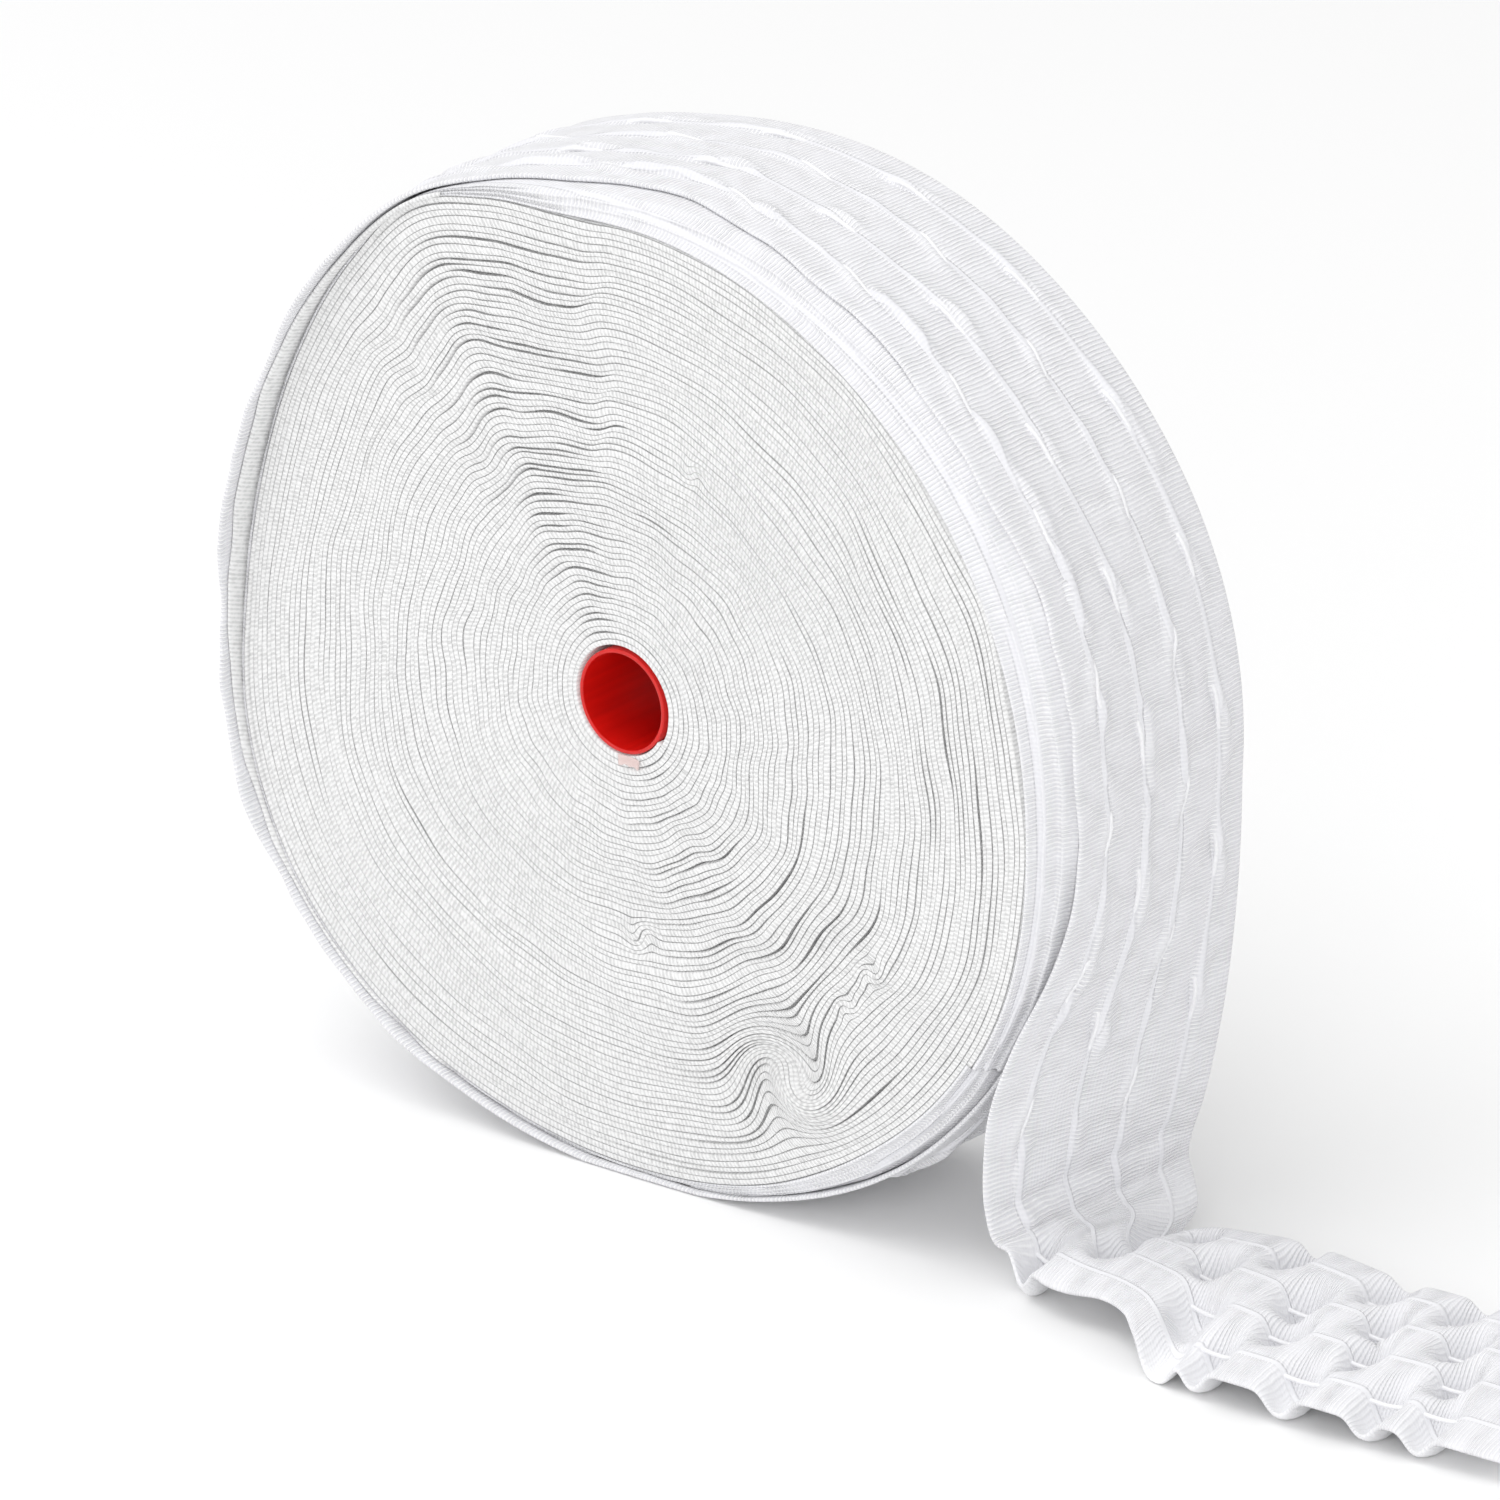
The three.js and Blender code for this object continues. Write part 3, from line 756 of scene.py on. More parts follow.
@dataclass(frozen=True)
class WoundSelvedgeFinish:
    """The same tape seen on its wound selvedges: white, matt, each turn's edge a small plait.

    The filling threads turn back at the selvedge every 1.4 mm, so each turn's edge is a row of slanted
    loops; the small hollows between them are painted grey as painted shade between the threads.
    """

    name: str = "wound_polyester_selvedge"
    crest: str = "#EFEFEF"
    # hollow is painted shade: the grey of the hollows between the loops
    hollow: str = "#D6D6D6"
    loop_pitch_mm: float = 1.4
    loop_height_mm: float = 0.4
    loop_slant: float = 0.45
    loop_share: float = 0.24
    turn_pitch_mm: float = 1.9
    grain_per_loop: float = 0.6
    tone_read: tuple[float, float] = (0.2, 0.62)
    roughness: float = 0.9
    specular: float = 0.2

    def build(self) -> Material:
        """Makes the material.

        Returns:
            The material.
        """
        material, tree = new_material(self.name)
        place = add_node(tree, "ShaderNodeUVMap", {"uv_map": "cloth"}, {})
        axes = add_node(tree, "ShaderNodeSeparateXYZ", {}, {"Vector": place})
        lean = self.loop_slant * self.loop_pitch_mm / self.turn_pitch_mm
        slant = add_node(tree, MATH, MULTIPLY_ADD, {0: axes.outputs["Y"], 1: lean, 2: axes.outputs["X"]})
        phase = add_node(tree, MATH, MULTIPLY, {0: slant, 1: 2 * math.pi / (self.loop_pitch_mm * MM)})
        wave = add_node(tree, MATH, SINE, {0: phase})
        scale = self.grain_per_loop / (self.loop_pitch_mm * MM)
        grain = add_node(tree, NOISE, FLAT_NOISE, {"Vector": place, "Scale": scale, "Detail": 3.0})
        loops = add_node(tree, MATH, MULTIPLY_ADD, {0: wave, 1: self.loop_share, 2: grain})
        share = add_node(tree, MAP_RANGE, {}, ranges(loops, self.tone_read, (0.0, 1.0)))
        looks = {"Roughness": self.roughness, "IOR": POLYESTER_IOR, "Specular IOR Level": self.specular}
        finish_material(tree, (self.hollow, self.crest), share, loops, (1.0, self.loop_height_mm), looks)
        return material


@dataclass(frozen=True)
class GrainedFinish:
    """A smooth material with a fine grain in its tone and relief, laid out in the object's own space."""

    name: str
    tones: tuple[str, ...]
    grain_mm: float
    detail: float
    relief: tuple[float, float]
    looks: dict[str, float]
    stretch: tuple[float, float, float] = (1.0, 1.0, 1.0)

    def build(self) -> Material:
        """Makes the material.

        Returns:
            The material.
        """
        material, tree = new_material(self.name)
        place = add_node(tree, "ShaderNodeTexCoord", {}, {}).outputs["Object"]
        drawn = add_node(tree, "ShaderNodeMapping", {}, {"Vector": place, "Scale": self.stretch})
        marks = {"Vector": drawn, "Scale": 1 / (self.grain_mm * MM), "Detail": self.detail}
        grain = add_node(tree, NOISE, {}, marks)
        finish_material(tree, self.tones, grain, grain, self.relief, self.looks)
        return material


# Braided polyester draw cord: white and smoother than the tape, so it keeps a soft gleam.
DRAW_CORD = GrainedFinish(
    name="braided_polyester_cord", tones=("#E6E6E9", "#F8F8F9"), grain_mm=0.9, detail=1.0,
    relief=(0.6, 0.15), looks={"Roughness": 0.5, "IOR": POLYESTER_IOR, "Sheen Weight": 0.1},
)

# Extruded polypropylene: bright red, satin, with faint lengthwise drawing lines in the bore.
RED_CORE = GrainedFinish(
    name="red_polypropylene", tones=("#BC0D0A", "#E0160F"), grain_mm=2.4, detail=3.0, relief=(0.35, 0.08),
    looks={"Roughness": 0.32, "IOR": 1.49, "Subsurface Weight": 0.1, "Subsurface Scale": 0.002},
    stretch=(1.0, 0.03, 1.0),
)

# Clear adhesive film over red plastic: thin, creased and glossy, tinted by what lies under it.
CLEAR_FILM = GrainedFinish(
    name="clear_adhesive_film", tones=("#F2DAD6",), grain_mm=1.6, detail=3.0, relief=(0.8, 0.2),
    looks={"Roughness": 0.12, "IOR": 1.48, "Alpha": 0.55},
)


@dataclass(frozen=True)
class FloorFinish:
    """Painted studio floor: white and matt."""

    name: str = "white_studio_floor"
    colour: str = "#FAFAFA"
    roughness: float = 0.9
    specular: float = 0.1

    def build(self) -> Material:
        """Makes the material.

        Returns:
            The material.
        """
        material, tree = new_material(self.name)
        looks = {"Roughness": self.roughness, "Specular IOR Level": self.specular}
        shader = add_node(tree, PRINCIPLED, {}, {"Base Color": linear(self.colour), **looks})
        add_node(tree, "ShaderNodeOutputMaterial", {}, {"Surface": shader})
        return material


# The wound pack


class Crimp(NamedTuple):
    """An angle at which neighbouring turns step in or out together, from the middle of its patch."""

    offset: float
    step: float
    half_width: float


@dataclass(frozen=True)
class CrimpedPatch:
    """A patch of the face where the turns step in and out together; its steps add up to nothing."""

    angle: float
    radius: float
    reach: float
    drift: float
    crimps: tuple[Crimp, ...]

    def shift(self, radius: Array, angle: Array) -> Array:
        """How far the patch moves the turns outwards.

        Args:
            radius: even radii.
            angle: angles round the roll.

        Returns:
            The movement at each point.
        """
        away = turned_from(angle, self.angle)
        envelope = np.exp(-(((radius - self.radius) / self.reach) ** 4))
        moved = np.zeros_like(radius)
        for number, crimp in enumerate(self.crimps):
            noise = ClothNoise(80 + number)
            drift = self.drift * noise.at(radius / 7.0 + 50) + 0.4 * self.drift * noise.at(radius / 2.9)
            moved += crimp.step * np.tanh((away - crimp.offset - drift) / crimp.half_width)
        return envelope * 0.5 * moved


class OpenGap(NamedTuple):
    """A place where two neighbouring turns stand apart."""

    angle: float
    radius: float
    length: float
    openness: float


class Ripple(NamedTuple):
    """An even ripple of all the turns: waves round the roll, lean outwards and height."""

    around: int
    through_mm: float
    height: float


class SoftPatch(NamedTuple):
    """A patch of the face where the selvedges stand unevenly, in soft folds."""

    angle: float
    reach_angle: float
    radius: float
    reach: float
    share: float


class Hollow(NamedTuple):
    """A round hollow of the face about the largest knot: its place, its reach and its depth."""

    angle: float
    radius: float
    reach: float
    depth: float


class Bunch(NamedTuple):
    """An angle about which the grooves open in short lenses, and how far round they do."""

    angle: float
    reach: float


class Twist(NamedTuple):
    """A knot where turns have buckled and folded over."""

    angle: float
    radius: float
    reach: float
    turn: float


@dataclass(frozen=True)
class WoundFace:
    """One face of the wound pack: the selvedges of its turns on a spiral, waved, gapped and buckled."""

    side: Side
    turns: int = 70
    profile: tuple[float, ...] = (0.0, 0.14, 0.5, 0.86)
    rounding: float = 0.10
    groove_depth: float = 0.13
    open_depth: float = 2.0
    back_depth: float = 30.0
    proud: float = 0.22
    fold_height: float = 0.75
    crimped: tuple[CrimpedPatch, ...] = (
        CrimpedPatch(
            115, 110, 40, 1.8,
            (Crimp(21, 2.6, 2.4), Crimp(13, -2.2, 2.2), Crimp(5, 2.6, 2.4), Crimp(-18, -3.0, 2.2)),
        ),
        CrimpedPatch(
            112, 128, 20, 1.2,
            (Crimp(27, 1.4, 1.6), Crimp(22, -1.8, 1.8), Crimp(-1, 1.2, 1.8), Crimp(-8, -0.8, 1.6)),
        ),
        CrimpedPatch(
            14, 126, 24, 2.5,
            (Crimp(26, 1.6, 4.0), Crimp(14, -2.0, 3.6), Crimp(1, 2.2, 4.0), Crimp(-14, -1.8, 4.0)),
        ),
        CrimpedPatch(
            -44, 104, 34, 2.2, (
                Crimp(24, -1.6, 3.6), Crimp(12, 2.6, 4.2), Crimp(-2, -1.2, 3.2), Crimp(-10, 1.6, 3.0),
                Crimp(-22, -2.4, 4.6), Crimp(-34, 1.0, 3.0),
            ),
        ),
        CrimpedPatch(
            -150, 104, 32, 2.6,
            (Crimp(40, 1.0, 5.0), Crimp(16, -1.4, 4.5), Crimp(-10, 1.2, 4.0), Crimp(-38, -0.8, 5.0)),
        ),
        CrimpedPatch(
            168, 92, 40, 2.2,
            (Crimp(15, -1.3, 3.0), Crimp(3, 1.7, 3.2), Crimp(-12, -1.2, 3.4), Crimp(-22, 0.8, 3.0)),
        ),
        CrimpedPatch(
            -40, 62, 24, 2.4,
            (Crimp(38, 1.4, 4.0), Crimp(16, -1.6, 4.0), Crimp(-14, 1.4, 4.0), Crimp(-34, -1.2, 4.0)),
        ),
    )
    twists: tuple[Twist, ...] = table(Twist, (
        (-61, 119, 14.0, -128), (-35, 109, 4.0, -70), (-43, 110, 3.5, -60), (72, 80, 3.5, 60),
        (-86, 74, 4.5, 70),
    ))
    gaps: tuple[OpenGap, ...] = table(OpenGap, (
        (126, 137, 13, 0.9), (128, 132, 11, 1.0), (116, 131, 9, 0.7), (129, 125, 9, 0.9),
        (104, 122, 12, 0.8), (120, 118, 10, 0.7), (127, 113, 12, 1.0), (112, 110, 11, 0.7),
        (126, 104, 14, 1.0), (101, 101, 10, 0.8), (124, 97, 9, 0.7), (127, 93, 13, 1.0),
        (108, 89, 16, 1.0), (96, 84, 9, 0.7), (120, 81, 12, 0.8), (126, 74, 20, 1.0), (104, 70, 12, 0.6),
        (122, 65, 16, 0.9), (120, 58, 14, 0.8), (79, 59, 12, 0.5), (116, 46, 14, 0.7), (-54, 55, 29, 0.9),
        (-60, 62, 22, 0.8), (-36, 73, 36, 1.0), (-62, 77, 20, 0.8), (-46, 84, 24, 0.9),
        (-70, 90, 16, 0.8), (-38, 92, 18, 0.9), (-52, 99, 18, 0.8), (-30, 100, 12, 0.7),
        (-72, 106, 12, 0.8), (-75, 136, 12, 1.0), (-68, 131, 8, 0.8), (-50, 134, 12, 0.8),
        (-78, 147, 18, 0.8), (-70, 151, 16, 0.7), (-86, 143, 16, 0.6), (10, 118, 16, 0.5),
        (-2, 128, 14, 0.5), (24, 108, 12, 0.4), (165, 148, 30, 0.7), (-166, 152, 30, 0.7),
        (152, 112, 12, 0.4),
    ))
    loose_share: float = 0.05
    unevenness: float = 0.24
    bunched_share: float = 0.5
    crest_shift: float = 0.07
    crest_shift_after: float = 0.14
    height_parts: tuple[NoisePart, ...] = (
        NoisePart(0.45, 11, 7.3), NoisePart(0.35, 12, 23.7), NoisePart(0.2, 13, 81.3),
    )
    groove_parts: tuple[NoisePart, ...] = (NoisePart(0.7, 15, 3.3), NoisePart(0.3, 16, 17.1))
    loose_noise: NoisePart = NoisePart(1.0, 21, 13.7)
    lens_noise: NoisePart = NoisePart(1.0, 23, 11.3)
    loose_above: tuple[float, float] = (0.1, 0.9)
    lens_above: tuple[float, float] = (0.0, 0.7)
    lens_power: float = 2.4
    bunches: tuple[Bunch, ...] = (Bunch(116, 19), Bunch(-64, 24))
    crimps_begin: tuple[float, float] = (20, 42)
    crimps_end: tuple[float, float] = (136, 149)
    twist_power: float = 2.1
    open_power: float = 1.3
    setback_power: float = 1.5
    wave_start: float = 24.0
    wave_length: float = 112.0
    hollow: Hollow = Hollow(-62, 124, 17, 2.6)
    fold_seed: int = 91
    fold_length: float = 5.4
    ripples: tuple[Ripple, ...] = (
        Ripple(5, 13, 0.4), Ripple(9, -9, 0.35), Ripple(14, 7, 0.28), Ripple(23, -5, 0.18),
    )
    soft_patches: tuple[SoftPatch, ...] = (
        SoftPatch(4, 46, 120, 27, 1.0), SoftPatch(-152, 50, 112, 30, 0.5),
        SoftPatch(112, 30, 104, 34, 0.7), SoftPatch(-46, 34, 88, 34, 0.7),
    )

    def rim(self, wound: Array) -> Array:
        """Radius at which the face ends and the stepped outer turns begin."""
        angle = FORM.start_angle - wound
        pack = FORM.pack_radius(wound) - np.maximum(0.6, FORM.outline("bevel", angle))
        first = FORM.pack_radius(np.array(0.0)) - FORM.outline("bevel", np.array(FORM.start_angle))
        pitch = (first - FORM.bore_radius) / self.turns
        return pack - wound / 360 * (FORM.turn_pitch - pitch)

    def height_noise(self, turn: Array, radius: Array, angle: Array) -> Array:
        """How far each turn's edge stands behind its neighbours.

        Args:
            turn: place along the spiral, in turns.
            radius: radii on the face.
            angle: angles round the roll.

        Returns:
            The edge's distance behind the even face, in millimetres.
        """
        own = mixed_noise(self.height_parts, turn)
        a = np.radians(angle)
        soft = np.zeros_like(angle)
        for patch in self.soft_patches:
            round_it = hump(turned_from(angle, patch.angle), 0, patch.reach_angle)
            soft += patch.share * round_it * hump(radius, patch.radius, patch.reach)
        folds = FaceNoise(self.fold_seed).at(radius / self.fold_length + 0.8 * np.sin(3 * a), angle)
        return self.proud * own + self.fold_height * np.minimum(soft, 1) * folds

    def uneven(self, turn: Array) -> Array:
        """How far a groove lies off its even place, as a share of a turn's thickness."""
        fade = np.clip(turn, 0, 1) * np.clip(self.turns - turn, 0, 1)
        return self.unevenness * fade * mixed_noise(self.groove_parts, turn)

    def openness(self, turn: Array) -> Array:
        """How far the groove inside each turn is open.

        Args:
            turn: place along the spiral, in turns.

        Returns:
            Values from 0, tight, to 1, open.
        """
        opened = self.loose_share * smooth_step(mixed_noise([self.loose_noise], turn), *self.loose_above)
        angle = FORM.start_angle - 360 * turn
        bunched = sum(hump(turned_from(angle, bunch.angle), 0, bunch.reach) for bunch in self.bunches)
        lenses = smooth_step(mixed_noise([self.lens_noise], turn), *self.lens_above)
        opened = np.maximum(opened, self.bunched_share * bunched * lenses)
        for gap in self.gaps:
            wound = (FORM.start_angle - gap.angle) % 360
            face = float(self.rim(np.array(wound))) - FORM.bore_radius
            whole = (self.turns + wound / 360) * (gap.radius - FORM.bore_radius) / face
            place = round(whole - wound / 360) + wound / 360
            lens = np.exp(-(np.abs((turn - place) * 360 / (0.5 * gap.length)) ** self.lens_power))
            opened = np.maximum(opened, gap.openness * lens)
        return opened

    def displaced(self, radius: Array, angle: Array) -> tuple[Array, Array]:
        """Moves points of the face by the crimps, the ripples and the buckled knots.

        Args:
            radius: even radii.
            angle: even angles.

        Returns:
            The radii and angles that the turns really have there.
        """
        moved = radius.copy()
        edge = smooth_step(radius, *self.crimps_begin) * (1 - smooth_step(radius, *self.crimps_end))
        for patch in self.crimped:
            moved += edge * patch.shift(radius, angle)
        a = np.radians(angle)
        for ripple in self.ripples:
            moved += edge * ripple.height * np.sin(ripple.around * a + radius / ripple.through_mm)
        x, z = moved * np.cos(a), moved * np.sin(a)
        for twist in self.twists if self.side is Side.NEAR else ():
            at = math.radians(twist.angle)
            cx, cz = twist.radius * math.cos(at), twist.radius * math.sin(at)
            away = np.hypot(x - cx, z - cz) / twist.reach
            turn = math.radians(twist.turn) * np.exp(-(away**self.twist_power))
            dx, dz = x - cx, z - cz
            x = cx + dx * np.cos(turn) - dz * np.sin(turn)
            z = cz + dx * np.sin(turn) + dz * np.cos(turn)
        return np.hypot(x, z), np.degrees(np.arctan2(z, x))

    def depth(self, share: Array, radius: Array, angle: Array) -> Array:
        """Distance of the face behind the core's near end, without its turns.

        Args:
            share: places from the bore, 0, to the rim, 1.
            radius: radii on the face.
            angle: angles round the roll.

        Returns:
            The face's distance behind the core's end, or beyond the far end on the far side.
        """
        sunk = FORM.outline("setback", angle) * share**self.setback_power
        if self.side is Side.FAR:
            return FORM.tape_width + sunk
        a = np.radians(angle)
        fade = np.sin(math.pi * np.clip((radius - self.wave_start) / self.wave_length, 0, 1))
        wave = 0.8 * np.sin(3 * a + radius / 11) + 0.5 * np.sin(5 * a - radius / 7)
        centre, out = math.radians(self.hollow.angle), self.hollow.radius
        across = radius * np.cos(a) - out * math.cos(centre)
        away = np.hypot(across, radius * np.sin(a) - out * math.sin(centre))
        return sunk + fade * wave + self.hollow.depth * np.exp(-((away / self.hollow.reach) ** 2))

    def ring(self, first: int, last: int, steps: int) -> Surface:
        """Builds some neighbouring turns as one closed mesh.

        Args:
            first: the first turn, counted from the core.
            last: the turn after the last.
            steps: how many steps there are in a turn.

        Returns:
            The ring of turns.
        """
        samples = len(self.profile)
        rows = (last - first) * samples + 1
        level, step = np.meshgrid(np.arange(rows), np.arange(steps + 1), indexing="ij")
        wound = 360.0 * step / steps
        angle = FORM.start_angle - wound
        kind = level % samples
        whole = first + level // samples
        part = np.array(self.profile)[kind]
        turn = whole + wound / 360
        rim = self.rim(wound)
        span = self.turns + wound / 360
        base = FORM.bore_radius + (rim - FORM.bore_radius) * (turn / span)
        opened = self.openness(turn)
        opened_after = self.openness(turn + 1)
        drawn_in = np.where(kind == samples - 1, -self.crest_shift_after * opened_after, 0.0)
        inset = np.where(kind == 1, self.crest_shift * opened, drawn_in)
        inset += self.uneven(turn) * (1 - part) + self.uneven(turn + 1) * part
        share = np.clip((turn + part + inset) / span, 0, 1)
        radius, seen_angle = self.displaced(FORM.bore_radius + (rim - FORM.bore_radius) * share, angle)
        proud = self.height_noise(turn, base, angle)
        groove = self.groove_depth + self.open_depth * opened**self.open_power + proud
        shoulder = (kind == 1) | (kind == samples - 1)
        below = np.select([kind == 0, shoulder], [groove, self.rounding + proud], proud)
        direction = 1.0 if self.side is Side.NEAR else -1.0
        y = self.depth(share, radius, angle) + direction * below
        back = self.back_depth if self.side is Side.NEAR else FORM.tape_width - self.back_depth
        front = FORM.round_axis(radius, seen_angle, y, FORM.tape_thickness + FORM.gap)
        pitch = (float(rim.mean()) - FORM.bore_radius) / self.turns
        along = 2 * math.pi * (FORM.bore_radius * turn + pitch * turn**2 / 2)
        cloth = np.stack([along, (whole + part) * pitch], axis=-1)
        return self.closed(front, cloth, back, samples)

    def closed(self, front: Array, cloth: Array, back: float, samples: int) -> Surface:
        """Closes a strip of spiral turns with walls and a flat back.

        Args:
            front: points of the face, by level and step.
            cloth: places on the cloth, by level and step.
            back: distance of the flat back behind the core's near end.
            samples: levels in a turn, after which the strip meets itself.

        Returns:
            The closed mesh.
        """
        rows, columns = front.shape[:2]
        number = np.arange(rows * columns).reshape(rows, columns)
        number[:-samples, -1] = number[samples:, 0]
        points = front.reshape(-1, 3)
        places = cloth.reshape(-1, 2)
        a, b = number[:-1, :-1].ravel(), number[:-1, 1:].ravel()
        c, d = number[1:, 1:].ravel(), number[1:, :-1].ravel()
        faces: list[Sequence[int]] = np.stack([a, b, c, d], axis=1).tolist()
        inner = number[0].tolist()
        outer = number[-1].tolist()
        start = number[: samples + 1, 0].tolist()
        end = number[rows - samples - 1 :, -1].tolist()
        rim = list(dict.fromkeys(inner + outer + start + end))
        behind = {n: len(points) + k for k, n in enumerate(rim)}
        backed = points[rim].copy()
        backed[:, 1] = FORM.face_y + back
        points = np.vstack([points, backed])
        places = np.vstack([places, places[rim]])

        def wall(edge: list[int], outwards: bool) -> None:
            """Walls an edge of the strip down to its back, with the faces turned outwards or inwards."""
            for p, q in zip(edge, edge[1:]):
                quad = [p, behind[p], behind[q], q]
                faces.append(quad[::-1] if outwards else quad)

        wall(inner, False)
        wall(outer, True)
        wall(start, True)
        wall(end, False)
        for j in range(columns - 1):
            cap = [behind[inner[j]], behind[outer[j]], behind[outer[j + 1]], behind[inner[j + 1]]]
            if j == 0:
                cap = [behind[n] for n in start] + cap[1:]
            if j == columns - 2:
                cap = cap[:2] + [behind[n] for n in end[::-1]] + cap[3:]
            faces.append(cap)
        if self.side is Side.NEAR:
            faces = [face[::-1] for face in faces]
        return self.tidied(points, faces, places)

    def tidied(self, points: Array, faces: list[Sequence[int]], places: Array) -> Surface:
        """Leaves out points that no face uses.

        Args:
            points: all points.
            faces: faces by point number.
            places: places on the cloth, one for each point.

        Returns:
            The mesh without its unused points.
        """
        used = np.zeros(len(points), dtype=bool)
        for face in faces:
            used[list(face)] = True
        renumber = np.cumsum(used) - 1
        return Surface(points[used], [[int(renumber[n]) for n in face] for face in faces], places[used])

    def build(self, material: Material) -> list[Piece]:
        """Makes the face's rings.

        Args:
            material: the wound selvedges' finish.

        Returns:
            The pieces, from the core outwards.
        """
        if self.side is Side.FAR:
            cuts = ((0, self.turns, 400),)
        else:
            cuts = ((0, 27, 480), (27, 49, 640), (49, self.turns, 800))
        made = []
        for number, (first, last, steps) in enumerate(cuts, start=1):
            name = f"{self.side.value}_face_turns_{number}"
            piece = self.ring(first, last, steps).to_object(name, material, Slot.ROLLED)
            made.append(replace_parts(piece, "wound_roll"))
        return made


@dataclass(frozen=True)
class OuterTurns:
    """The pack's outside: stepped selvedges at the rim, and the turn under the last one."""

    steps: int = 720
    core_depth: float = 3.0
    treads: int = 3
    lip: float = 1.0
    # painted highlight: how far the treads' lips are lightened towards the crest colour
    lip_highlight: float = 0.25
    cloth_radius: float = 150.0
    wavers: tuple[LongNoise, ...] = (LongNoise(0.8, 31, 8.3), LongNoise(0.4, 35, 2.7))
    waver_fades_at: float = 5.0
    hidden_near: float = 22.0
    hidden_far: float = 20.0
    least_bevel: float = 0.6

    def section(self, wound: Array) -> tuple[list[Array], list[Array]]:
        """Radii and distances behind the core's near end, point by point round the section.

        Args:
            wound: angles wound from the last turn's start.

        Returns:
            The section's radii and its distances.
        """
        angle = FORM.start_angle - wound
        radius = FORM.pack_radius(wound)
        bevel = np.maximum(self.least_bevel, FORM.outline("bevel", angle))
        setback = FORM.outline("setback", angle)
        rim = radius - bevel
        lead = FORM.pack_lead(wound)
        near = np.maximum(lead + 1, setback + 0.8)
        far = np.maximum(lead, setback) + FORM.tape_width
        rise = bevel / self.treads
        lip = np.minimum(self.lip, rise * 0.6)
        radii = [rim - self.core_depth, rim - 0.3]
        depths = [setback + self.hidden_near, setback + 2.0]
        edge = setback + 0.3
        for number in range(self.treads):
            share = (number + 1) / self.treads
            waver = sum(w.height * ClothNoise(w.seed + number).at(wound / w.length) for w in self.wavers)
            even = setback + (near - setback) * share
            following = even + waver * np.minimum(1, bevel / self.waver_fades_at)
            inner = rim + rise * number
            radii += [inner + part * lip for part in (0, 0.3, 0.8, 1)]
            radii += [inner + 0.75 * lip + 0.25 * rise]
            depths += [edge, edge - 0.25, edge - 0.2, edge + 0.35, edge + 0.5 * (following - edge)]
            radii += [inner + 0.5 * (lip + rise)]
            depths += [following - 0.5]
            edge = following
        radii += [radius - 0.3 * lip, radius, radius, radius, radius]
        radii += [radius - 0.2, rim + 0.5 * bevel, rim]
        depths += [edge, edge + 1.0, 0.7 * near + 0.3 * far, 0.3 * near + 0.7 * far, far - 0.8, far]
        depths += [0.5 * (far + FORM.tape_width + setback), FORM.tape_width + setback]
        radii += [rim - self.core_depth]
        depths += [FORM.tape_width + setback - self.hidden_far]
        return radii, depths

    def build(self, material: Material) -> Piece:
        """Makes the piece.

        Args:
            material: the woven tape's finish.

        Returns:
            The outer turns.
        """
        wound = np.append(np.arange(self.steps) * 360 / self.steps, 360 - 0.25)
        radii, depths = self.section(wound)
        radius, depth = np.stack(radii, axis=1), np.stack(depths, axis=1)
        angle = (FORM.start_angle - wound)[:, None] + np.zeros_like(radius)
        points = FORM.round_axis(radius, angle, depth, FORM.tape_thickness + FORM.gap)
        rows, size = radius.shape
        arc = np.radians(wound)[:, None] * self.cloth_radius + np.zeros_like(radius)
        cloth = np.stack([arc, depth], axis=-1).reshape(-1, 2)
        made = Surface(points.reshape(-1, 3), ring_faces(rows, size), cloth)
        piece = made.to_object("outer_turns", material, Slot.ROLLED)
        # Painted highlight along each tread's lip, passed to the finish as the lip value.
        lip_highlights = np.zeros(size)
        for tread in range(self.treads):
            lip_highlights[3 + 6 * tread : 5 + 6 * tread] = self.lip_highlight
        give_values(piece, "lip", np.tile(lip_highlights, rows))
        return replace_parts(piece, "wound_roll")


